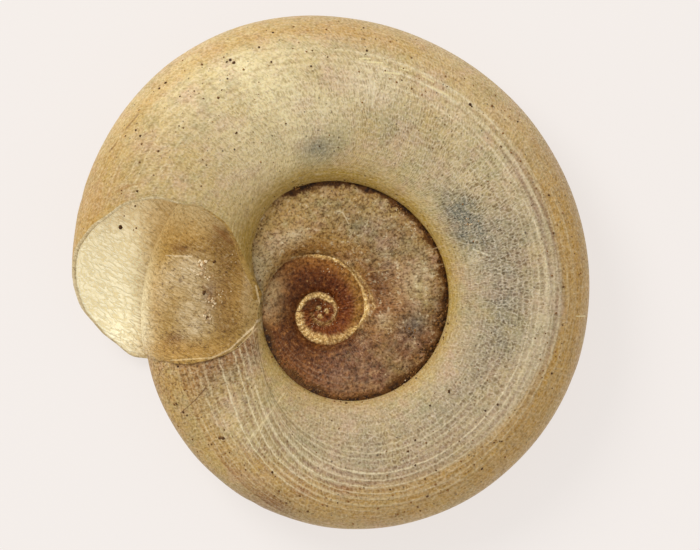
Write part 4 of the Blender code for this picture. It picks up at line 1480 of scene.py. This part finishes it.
@dataclass(frozen=True)
class OuterWall:
    """The shell's outside: a thin horny skin over lime, netted by threads and growth lines."""

    nucleus: Pair
    ages: tuple[tuple[float, Colour], ...] = (
        (-180, (132, 70, 24)), (0, (124, 58, 4)), (90, (112, 50, 3)), (180, (116, 62, 12)),
        (250, (110, 56, 6)), (320, (116, 60, 6)), (375, (150, 103, 38)), (450, (180, 140, 74)),
        (490, (210, 168, 100)), (530, (190, 150, 84)), (570, (184, 151, 86)), (600, (180, 151, 92)),
        (640, (188, 164, 124)), (750, (187, 165, 127)), (775, (222, 198, 146)), (822, (202, 179, 128)),
        (854, (246, 228, 172)), (885, (204, 176, 112)))  # the base colour at angles along the coil
    green: Colour = (164, 158, 112)
    pink: Colour = (214, 174, 146)
    straw: Colour = (206, 176, 98)
    tan: Colour = (204, 157, 68)
    honey: Colour = (194, 157, 58)
    slate: Colour = (108, 108, 92)
    umber: Colour = (84, 42, 10)
    ochre: Colour = (160, 96, 28)
    pale: Colour = (244, 228, 188)
    # painted highlight on the fine net's cords
    cord: Colour = (236, 222, 200)
    violet: Colour = (144, 108, 86)
    # painted highlight: the rim's light gold, also used for painted glints on the young whorls
    gilt_highlight: Colour = (248, 204, 124)
    rust: Colour = (104, 64, 20)
    soil: Colour = (48, 26, 8)
    # painted glint on the peaks of the rim's beads
    glint: Colour = (255, 232, 184)
    # painted shade in the net's holes, and the dark tone of the mottled grains
    shade_and_grain_tone: Colour = (140, 116, 66)
    fleck: Colour = (196, 130, 62)
    growth_pitch: float = 0.062
    unevenness: Pair = (2.4, -0.2)  # gain and shift of the noise that breaks up the washes
    bump: float = 0.0000045
    sheen: float = 0.19
    roughness: Pair = (0.52, 0.34)
    glow_through: float = 0.12
    glow_colour: Colour = (1.0, 0.75, 0.45)
    glow_depth: float = 0.00012

    def build(self) -> bpy.types.Material:
        """Make the material."""
        w = Paint("outer_wall")
        run = {"Thread": w.carried("thread"), "Along": w.carried("along")}
        threads, net = w.effect("spiral_threads", run), w.effect("fine_net", run)
        growth = w.effect("growth_lines", {**run, "Pitch": self.growth_pitch})
        grain, threaded = w.grain(34.0), w.carried(Tint.THREADED)
        crest = w.times(threads["Crest"], threaded)
        fine = w.times(threads["Fine"], w.times(w.rise(w.carried("turn"), 0.95, 1.6), 0.25))
        ribs = w.times(growth["Line"], w.carried(Tint.RIBBED))
        colour = self.netted(w, net, self.washed(w))
        colour = w.lay(colour, self.violet, threads["Groove"], threaded, 0.5)
        for lines, strength in ((fine, 0.6), (crest, 0.75), (ribs, 0.5)):
            colour = w.lay(colour, self.pale, lines, strength)
        colour = w.marked(self.stained(w, self.mottled(w, grain, colour)), OUTSIDE_MARKS, self.nucleus)
        height = w.times(growth["Wave"], 0.2, w.math("ADD", crest, ribs))
        height = w.times(net["Ridge"], 0.5, w.math("ADD", height, fine))
        return w.coat({
            "Base Color": colour, "Normal": w.relief(w.times(grain, 1.2, height), self.bump),
            "Roughness": w.rise(grain, 0.3, 0.7, *self.roughness), "Specular IOR Level": self.sheen,
            "Subsurface Weight": self.glow_through, "Subsurface Radius": self.glow_colour,
            "Subsurface Scale": self.glow_depth})

    def washed(self, w: Paint) -> Socket:
        """The wall's colour by age, with clouds and the broad washes laid over it.

        Args:
            w: the material.

        Returns:
            The colour before its fine detail.
        """
        first, last = self.ages[0][0], self.ages[-1][0]
        turn = w.carried("turn")
        share = w.rise(turn, first / 360.0, last / 360.0)
        share.node.interpolation_type = "LINEAR"
        ages = w.add("ShaderNodeValToRGB", {0: share})
        stops = ages.color_ramp.elements
        for number, (angle, colour) in enumerate(self.ages):
            stop = stops[number] if number < 2 else stops.new(1.0)
            stop.position, stop.color = (angle - first) / (last - first), srgb(colour)
        colour, older = ages.outputs["Color"], w.rise(turn, 0.6, 1.2)
        for reach, tone, strength in (
                (0.6, self.green, 0.5), (0.5, self.straw, 0.45), (0.35, self.pink, 0.5),
                (0.14, self.green, 0.35), (0.1, self.pink, 0.25), (0.06, self.straw, 0.25)):
            place = w.arrows("ADD", w.place, (17.0 * reach, 5.0, 0.0))
            patch = w.effect("clouds", {"Place": place, "Reach": reach, "Low": 0.48, "High": 0.68})["Mask"]
            colour = w.lay(colour, tone, patch, older, strength)
        uneven = w.times(w.grain(8.0, 5.0, 0.8), *self.unevenness)
        for tint in (Tint.TAN, Tint.HONEY, Tint.SLATE, Tint.OCHRE, Tint.VIOLET, Tint.UMBER, Tint.PALE):
            colour = w.lay(colour, getattr(self, tint), w.limit(w.times(w.carried(tint), uneven)))
        return colour

    def netted(self, w: Paint, net: Sockets, colour: Socket) -> Socket:
        """Paint shade into the holes of the fine net and a highlight onto its cords.

        Args:
            w: the material.
            net: what the net's effect gives.
            colour: the colour so far.

        Returns:
            The netted colour.
        """
        netted = w.carried(Tint.NETTED)
        hole_shade = w.times(w.times(w.rise(net["Own"], 0.0, 1.0), netted), w.rest(net["Ridge"]))
        # painted shade in the net's holes, and a painted highlight on its cords
        colour = w.lay(colour, w.darken(colour, self.shade_and_grain_tone), hole_shade, 0.7)
        knots = w.rise(w.grain(26.0, 3.0, 0.7), 0.42, 0.64, 0.2, 1.0)
        return w.lay(colour, self.cord, net["Ridge"], netted, knots, 0.6)

    def mottled(self, w: Paint, grain: Socket, colour: Socket) -> Socket:
        """Break the colour up into light and dark grains, coarser on the third whorl.

        Args:
            w: the material.
            grain: the fine noise that the surface shares.
            colour: the colour so far.

        Returns:
            The mottled colour.
        """
        turn = w.carried("turn")
        last = w.rise(turn, 1.45, 1.65)
        gritty = w.times(w.rise(turn, 0.75, 1.05), w.rest(last))
        gritty = w.math("MAXIMUM", gritty, w.times(w.carried(Tint.TAN), 0.5))
        coarse = w.grain(15.0, 4.0, 0.75)
        dark = w.darken(colour, self.shade_and_grain_tone)
        darker = w.darken(dark, self.shade_and_grain_tone)
        colour = w.lay(colour, dark, w.rise(grain, 0.56, 0.3), w.times(last, -0.45, 0.75))
        colour = w.lay(colour, darker, w.rise(coarse, 0.5, 0.34), gritty, 0.5)
        young = w.rise(turn, 1.05, 0.85)
        for low, high, strength, tone in ((0.5, 0.34, 0.5, darker), (0.52, 0.7, 0.45, self.fleck)):
            colour = w.lay(colour, tone, w.rise(coarse, low, high), young, strength)
        light = w.times(w.rise(grain, 0.53, 0.75), w.times(last, 0.2, 0.05))
        return w.lay(colour, self.pale, w.times(w.rise(coarse, 0.54, 0.7), w.times(gritty, 0.5), light))

    def stained(self, w: Paint, colour: Socket) -> Socket:
        """Lay the rim's painted highlight and glints, the rust of the seams and the small specks over the
        colour.

        Args:
            w: the material.
            colour: the colour so far.

        Returns:
            The stained colour.
        """
        broken, beads, rim_highlight_share = w.grain(13.0, 4.0, 0.75), w.grain(34.0, 3.0, 0.8), w.carried(Tint.GILT)
        # painted shade: umber along the rim's sides sets off its painted highlight
        colour = w.lay(colour, self.umber, w.rise(rim_highlight_share, 0.05, 0.5), w.rise(broken, 0.6, 0.4), 0.6)
        # painted highlight: light gold over the rim, with painted glints where its beads peak
        gilt_highlight = w.times(w.rise(rim_highlight_share, 0.15, 0.75), w.rise(beads, 0.38, 0.6, 0.3, 1.0))
        colour = w.lay(w.lay(colour, self.gilt_highlight, gilt_highlight), self.glint, gilt_highlight, w.rise(beads, 0.54, 0.64))
        ragged = w.times(w.math("SUBTRACT", broken, 0.5), 1.5, w.carried(Tint.RUST))
        colour = w.lay(colour, self.rust, w.rise(ragged, 0.15, 0.6))
        clumps = w.rise(w.grain(9.0, 3.0, 0.75), 0.42, 0.56, 0.25, 1.0)
        colour = w.lay(colour, self.soil, w.rise(ragged, 0.35, 0.9), clumps)
        for cell, size, share, strength in ((0.075, 0.2, 0.3, 0.6), (0.16, 0.1, 0.3, 0.7)):
            specks = w.effect("specks", {"Place": w.place, "Cell": cell, "Size": size, "Share": share})
            colour = w.lay(colour, self.soil, specks["Mask"], strength)
        # painted glints scattered over the young whorls
        painted_glints = w.rise(w.grain(34.0, 3.0, 0.75), 0.64, 0.76)
        return w.lay(colour, self.gilt_highlight, painted_glints, w.rise(w.carried("turn"), 1.5, 0.4), 0.7)


@dataclass(frozen=True)
class Lining:
    """The hollow's lining and the glaze on the whorl before: cream, wrinkled and stained, with painted shade
    and a painted glow.
    """

    nucleus: Pair
    cream: Colour = (255, 249, 218)
    glaze: Colour = (160, 128, 63)
    amber: Colour = (178, 138, 68)
    shade: Colour = (100, 62, 22)
    pale: Colour = (202, 186, 156)
    wrinkle: Colour = (206, 184, 122)
    light: Colour = (255, 246, 218)
    # painted glow: the lining gives off light of its own colour, warmer and stronger where painted light is
    # laid on
    painted_glow_tint: Colour = (255, 236, 190)
    painted_glow_gain: float = 3.0  # how much the painted glow is raised where painted light is laid on
    glow: float = 0.41
    lines_pitch: float = 0.07
    wrinkles_run: float = -0.55  # radians, the way the wrinkles run across the floor
    wrinkle_scale: Pair = (6.0, 19.0)  # along and across them, for each millimetre
    unevenness: Pair = (2.2, -0.1)  # gain and shift of the noise that breaks up the washes
    roughness: Pair = (0.5, 0.3)
    bump: float = 0.000012

    def build(self) -> bpy.types.Material:
        """Make the material."""
        w = Paint("lining")
        run = {"Thread": w.carried("thread"), "Along": w.carried("along"), "Waver": 2.0}
        lines = w.effect("growth_lines", {**run, "Pitch": self.lines_pitch})
        grain, glazed, painted_light_share = w.grain(26.0, 4.0, 0.7), w.carried(Tint.GLAZE), w.carried(Tint.LIT)
        colour = w.blend(glazed, srgb(self.cream), srgb(self.glaze))
        uneven = w.times(w.grain(8.0, 4.0, 0.75), *self.unevenness)
        for tint in (Tint.SHADE, Tint.AMBER, Tint.PALE):
            colour = w.lay(colour, getattr(self, tint), w.limit(w.times(w.carried(tint), uneven)))
        furrow = self.furrows(w)
        faint = w.times(w.rest(lines["Wave"]), w.times(glazed, 0.35))
        share = w.limit(w.times(furrow, w.times(glazed, -0.1, 0.45), faint))
        colour = w.lay(colour, w.darken(colour, self.wrinkle), share)
        colour = w.lay(colour, self.light, w.rise(grain, 0.53, 0.75), w.times(glazed, -0.2, 0.35))
        dark = w.darken(colour, self.shade)
        colour = w.lay(colour, dark, w.rise(grain, 0.5, 0.28), w.times(glazed, 0.6, 0.15))
        colour = w.marked(colour, INSIDE_MARKS, self.nucleus)
        # painted glow: emission in the lining's own colour, raised and warmed where painted light is laid on
        painted_glow_tint = w.scaled(w.blend(painted_light_share, (1.0, 1.0, 1.0, 1.0), srgb(self.painted_glow_tint)), self.painted_glow_gain)
        height = w.math("SUBTRACT", w.times(grain, 1.2), furrow)
        return w.coat({
            "Base Color": colour, "Normal": w.relief(height, self.bump),
            "Roughness": w.rise(grain, 0.3, 0.7, *self.roughness), "Emission Strength": self.glow,
            "Emission Color": w.lay(colour, w.blend(1.0, colour, painted_glow_tint, "MULTIPLY"), w.limit(painted_light_share))})

    def furrows(self, w: Paint) -> Socket:
        """Wavy wrinkles, short and broken, that run mostly one way.

        Args:
            w: the material.

        Returns:
            How deep each point lies in a furrow, from 0 to 1.
        """
        sockets = {"Vector": w.place, "Angle": -self.wrinkles_run}
        turned = w.add("ShaderNodeVectorRotate", sockets, rotation_type="Z_AXIS").outputs[0]
        way, over = self.wrinkle_scale
        depths = []
        for offset, share in ((0.0, 1.0), (7.3, 0.5)):
            moved = w.arrows("MULTIPLY_ADD", turned, (way, over, way), (offset, offset, 0.0))
            ridge = w.math("ABSOLUTE", w.math("SUBTRACT", w.noise(moved, 1.0, 2.0, 0.55), 0.5))
            depths.append(w.rise(ridge, 0.0, 0.08, share, 0.0))
        return w.math("MAXIMUM", *depths)


@dataclass(frozen=True)
class Clump:
    """A patch of grains: its middle from the nucleus, its reach, how many, and their largest size."""

    x: float
    y: float
    reach: float
    count: int
    size: float


def clumps(*rows: tuple[float, ...]) -> tuple[Clump, ...]:
    """Clumps from rows of what each is given."""
    return tuple(Clump(*row) for row in rows)


@dataclass
class Bits:
    """Small solid bits that lie on the shell, joined in one mesh."""

    shell: bpy.types.Object
    nucleus: Pair
    name: str
    seed: int
    roughness: float = 0.25  # how far the corners stray, as a share of the size
    flatness: float = 0.6  # height as a share of the width
    slimness: Pair = (0.65, 1.0)  # depth as a share of the width
    sunk: float = 0.3  # how far its middle lies over the surface, as a share of its height
    clearance: float = 0.004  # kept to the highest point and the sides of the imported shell
    drop_height: float = 5.0  # where a bit falls from

    def __post_init__(self) -> None:
        """Ready the shell's surface, the plain shape and the draws."""
        mesh = self.shell.data
        corners = [tuple(vertex.co) for vertex in mesh.vertices]
        self.surface = BVHTree.FromPolygons(corners, [tuple(face.vertices) for face in mesh.polygons])
        self.draws = np.random.default_rng(self.seed)
        plain = bmesh.new()
        bmesh.ops.create_icosphere(plain, subdivisions=1, radius=1.0)
        self.shape = np.array([vertex.co[:] for vertex in plain.verts])
        self.faces = np.array([[vertex.index for vertex in face.verts] for face in plain.faces])
        plain.free()
        self.skin = Skin(names=("tone",))

    def drop(self, x: float, y: float, size: float, tone: float) -> None:
        """Lay one bit on the highest surface at a place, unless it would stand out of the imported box.

        Args:
            x: place from the nucleus, in millimetres.
            y: the same.
            size: its radius, in millimetres.
            tone: its shade, from 0 to 1.
        """
        above = Vector([(x + self.nucleus[0]) * MM, (y + self.nucleus[1]) * MM, self.drop_height * MM])
        spot, normal, _, _ = self.surface.ray_cast(above, Vector((0.0, 0.0, -1.0)))
        stretch = 1.0 + self.roughness * self.draws.uniform(-1.0, 1.0, (len(self.shape), 1))
        spin = self.draws.uniform(0.0, 2.0 * math.pi)
        shape = self.shape * stretch * (1.0, self.draws.uniform(*self.slimness), self.flatness)
        if spot is None:
            return
        turn = np.array((normal.to_track_quat("Z", "Y").to_matrix() @ Matrix.Rotation(spin, 3, "Z")))
        middle = np.array(spot) / MM + np.array(normal) * size * self.sunk * self.flatness
        points = (shape @ turn.T) * size + middle
        low, high = (np.array(corner) / MM for corner in CAD_BOX)
        beside = (self.clearance, self.clearance, 0.0)
        if np.all(points >= low + beside) and np.all(points <= high - self.clearance):
            numbers = self.skin.add_points(points)
            self.skin.add_faces(numbers[self.faces], {"tone": np.full(self.faces.shape, tone)})

    def strew(self, clumps: tuple[Clump, ...]) -> None:
        """Drop patches of bits."""
        for clump in clumps:
            for _ in range(clump.count):
                x, y = self.draws.normal(0.0, 0.5 * clump.reach, 2)
                size = clump.size * self.draws.uniform(0.4, 1.0)
                self.drop(clump.x + x, clump.y + y, size, self.draws.uniform())

    def to_object(self, finish: bpy.types.Material, smooth: bool) -> bpy.types.Object:
        """Join the bits in one mesh, dress it and hand it over."""
        piece = self.skin.to_object(self.name, smooth=smooth)
        piece.data.materials.append(finish)
        LOG.info("%s: %d bits", self.name, len(self.skin.faces))
        return piece


@dataclass(frozen=True)
class BitFinish:
    """The finish of loose bits: two tones, told apart bit by bit, and a fine grain."""

    name: str
    dark: Colour
    light: Colour
    roughness: Pair
    patch: float = 0.02  # millimetres, the reach of the grain's patches
    sheen: float = 0.3

    def build(self) -> bpy.types.Material:
        """Make the material."""
        w = Paint(self.name)
        patches = w.effect("clouds", {"Place": w.place, "Reach": self.patch, "Low": 0.3, "High": 0.7})["Mask"]
        share = w.limit(w.times(w.math("SUBTRACT", patches, 0.5), 0.4, w.carried("tone")))
        return w.coat({
            "Base Color": w.blend(share, srgb(self.dark), srgb(self.light)),
            "Roughness": w.rise(patches, 0.0, 1.0, *self.roughness), "Specular IOR Level": self.sheen})


@dataclass
class DustGrains:
    """Brown grains of soil that stick to the shell, most of them on its outer edge and in its seam."""

    specks: tuple[tuple[float, float, float], ...] = (
        (-1.05, 2.90, 0.024), (-1.01, 2.87, 0.022), (-1.09, 2.88, 0.016), (-1.80, 2.64, 0.02),
        (-0.98, 2.06, 0.022), (-1.63, 2.48, 0.013), (-2.12, 1.39, 0.016), (-0.58, 2.88, 0.016),
        (-0.72, 3.05, 0.018), (-0.12, 2.83, 0.014), (-0.56, 3.22, 0.016), (0.52, 3.01, 0.016),
        (1.71, 2.39, 0.02), (-1.14, -1.46, 0.022), (-0.57, -1.85, 0.018), (1.47, -0.92, 0.024),
        (2.03, -1.07, 0.016), (1.89, -1.14, 0.016), (1.25, -1.08, 0.014), (1.08, -1.48, 0.016),
        (1.00, -1.61, 0.016), (1.99, -1.51, 0.014), (1.85, -1.81, 0.018), (1.22, -2.13, 0.018),
        (1.08, -1.77, 0.014), (1.32, -1.83, 0.012), (0.79, -2.05, 0.014), (-1.60, -1.16, 0.018),
        (-2.34, 0.98, 0.03), (-1.36, 0.22, 0.03), (-1.24, 0.58, 0.022), (-1.32, -0.07, 0.02)
    )  # larger grains: where from the nucleus, and how large
    speck_tone: float = 0.15
    clumps: tuple[Clump, ...] = clumps(
        (-0.28, 1.41, 0.05, 12, 0.018), (-0.12, 1.44, 0.05, 9, 0.016), (1.36, -0.10, 0.07, 34, 0.026),
        (1.36, -0.02, 0.05, 12, 0.02), (1.20, -0.44, 0.11, 30, 0.022), (1.02, -0.68, 0.12, 24, 0.018),
        (0.80, 1.16, 0.14, 14, 0.012), (1.03, -0.24, 0.07, 16, 0.016), (0.96, -0.18, 0.04, 6, 0.014))
    strips: tuple[tuple[int, Pair, Pair, float], ...] = (
        (240, (560.0, 900.0), (-0.04, 0.02), 0.014),  # in the seam
        (260, (570.0, 780.0), (-0.07, -0.01), 0.014),  # beside it
        (260, (560.0, 880.0), (0.66, 0.97), 0.018),  # toward the outer edge
        (200, (560.0, 860.0), (0.1, 0.8), 0.013),  # all over the last whorl
        (110, (250.0, 540.0), (0.1, 0.42), 0.009)  # on the young whorls
    )  # how many, at which angles, how far across, and the largest size

    def build(self, bits: Bits, law: GrowthLaw) -> bpy.types.Object:
        """Strew the grains.

        Args:
            bits: an empty set of bits.
            law: the shell's growth law.

        Returns:
            The dressed piece.
        """
        for speck in self.specks:
            bits.drop(*speck, self.speck_tone)
        bits.strew(self.clumps)
        draws = bits.draws
        for count, turns, shares, largest in self.strips:
            for _ in range(count):
                turn, share = draws.uniform(*turns), draws.uniform(*shares)
                angle = np.array(turn)
                radius = float(mix(law.seam(angle), law.edge(angle), share))
                size, tone = largest * draws.uniform(0.3, 1.0) ** 1.5, draws.uniform(0.1, 1.0)
                way = math.radians(turn)
                bits.drop(radius * math.cos(way), radius * math.sin(way), size, tone)
        finish = BitFinish("soil_grains", (62, 36, 12), (150, 104, 50), (0.55, 0.8))
        return bits.to_object(finish.build(), smooth=True)


@dataclass
class LimeCrystals:
    """Whitish angular crystals that have grown on the glaze and glitter on the young whorls."""

    clumps: tuple[Clump, ...] = clumps(
        (-1.39, 0.52, 0.08, 22, 0.024), (-1.31, 0.40, 0.06, 12, 0.018), (-1.27, 0.13, 0.08, 16, 0.022),
        (-1.33, -0.06, 0.07, 12, 0.018), (-1.16, 0.22, 0.10, 10, 0.012), (-1.05, 0.62, 0.08, 6, 0.01),
        (0.93, 1.11, 0.05, 6, 0.011), (1.05, 0.97, 0.06, 7, 0.011), (-0.13, 1.38, 0.05, 6, 0.011),
        (-0.02, 0.02, 0.22, 46, 0.008), (0.12, 0.53, 0.10, 10, 0.01), (0.30, 0.55, 0.08, 8, 0.009),
        (0.52, 0.20, 0.08, 8, 0.01), (1.30, 0.30, 0.16, 10, 0.009), (0.85, -0.72, 0.24, 12, 0.008),
        (1.70, 1.02, 0.08, 8, 0.013))

    def build(self, bits: Bits) -> bpy.types.Object:
        """Strew the crystals on an empty set of bits."""
        bits.strew(self.clumps)
        finish = BitFinish("lime_crystals", (176, 134, 80), (248, 228, 190), (0.25, 0.5))
        return bits.to_object(finish.build(), smooth=False)


@dataclass
class Studio:
    """The pale floor, the soft light and the camera, with places and sizes in millimetres."""

    floor_colour: Colour = (245.0, 239.0, 235.0)
    floor_size: float = 600.0
    floor_share: float = 0.2  # of the light that the floor gives back; the rest is its own
    floor_glow: float = 0.8
    aim: tuple[float, float, float] = (0.220, -0.029, 0.65)
    lens: float = 600.0
    sensor: float = 36.0
    clip: Pair = (0.01, 10.0)  # metres
    half_view: float = 4.0542  # from the middle of the view to its side
    sky_colour: tuple[float, float, float, float] = (1.0, 0.985, 0.965, 1.0)
    sky_light: float = 0.58
    key_light: float = 1.9  # watts for each square metre at the shell
    key_place: tuple[float, float, float] = (-60.0, 62.0, 85.0)
    key_size: float = 60.0

    def build(self) -> None:
        """Set up floor, lights and camera."""
        bpy.context.scene.view_settings.view_transform = "Standard"
        self.lay_floor()
        self.light_sky()
        self.hang_light()
        self.place_camera()

    def lay_floor(self) -> None:
        """Lay the floor, which glows a little so that it stays pale round the shell."""
        half = 0.5 * self.floor_size * MM
        mesh = bpy.data.meshes.new("floor")
        mesh.from_pydata([(-half, -half, 0.0), (half, -half, 0.0), (half, half, 0.0), (-half, half, 0.0)],
                         [], [(0, 1, 2, 3)])
        colour = srgb(self.floor_colour)
        mesh.materials.append(Paint("floor_paint").coat({
            "Base Color": [part * self.floor_share for part in colour[:3]] + [1.0], "Roughness": 1.0,
            "Specular IOR Level": 0.0, "Emission Color": colour, "Emission Strength": self.floor_glow}))
        placed("floor", mesh)

    def light_sky(self) -> None:
        """Light everything evenly from the sky."""
        world = bpy.data.worlds.new("soft_room")
        world.use_nodes = True
        sky = {"Color": self.sky_colour, "Strength": self.sky_light}
        Wiring(world.node_tree).feed(world.node_tree.nodes["Background"], sky)
        bpy.context.scene.world = world

    def hang_light(self) -> None:
        """Hang one soft light that faces the shell."""
        lamp = bpy.data.lights.new("key_light", "AREA")
        lamp.shape, lamp.size = "DISK", self.key_size * MM
        distance = math.hypot(*self.key_place) * MM
        lamp.energy = math.pi * distance ** 2 * self.key_light
        light = placed("key_light", lamp)
        light.location = [part * MM for part in self.key_place]
        light.rotation_euler = Vector(self.key_place).to_track_quat("Z", "Y").to_euler()

    def place_camera(self) -> None:
        """Look straight down on the shell."""
        camera = bpy.data.cameras.new("camera")
        camera.lens, camera.sensor_width = self.lens, self.sensor
        camera.clip_start, camera.clip_end = self.clip
        distance = self.half_view * self.lens / (0.5 * self.sensor)
        eye = placed("camera", camera)
        eye.location = (self.aim[0] * MM, self.aim[1] * MM, (self.aim[2] + distance) * MM)
        bpy.context.scene.camera = eye


def main() -> None:
    """Build the shell, dress it and set it in the studio."""
    logging.basicConfig(level=logging.INFO, format="%(message)s")
    Studio().build()
    for effect in EFFECTS:
        effect.build()
    body = ShellBody()
    shell = body.build()
    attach(shell, "root")
    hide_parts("shell")
    LOG.info("%s: %d faces, scaled %.5f", shell.name, len(shell.data.polygons), body.scale)
    grains = DustGrains().build(Bits(shell, body.nucleus, "dust_grains", 11), body.coil.law)
    crystals = LimeCrystals().build(Bits(shell, body.nucleus, "lime_crystals", 12, roughness=0.4, flatness=0.8))
    for piece in (grains, crystals):
        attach(piece, "root")


if __name__ == "__main__":
    main()
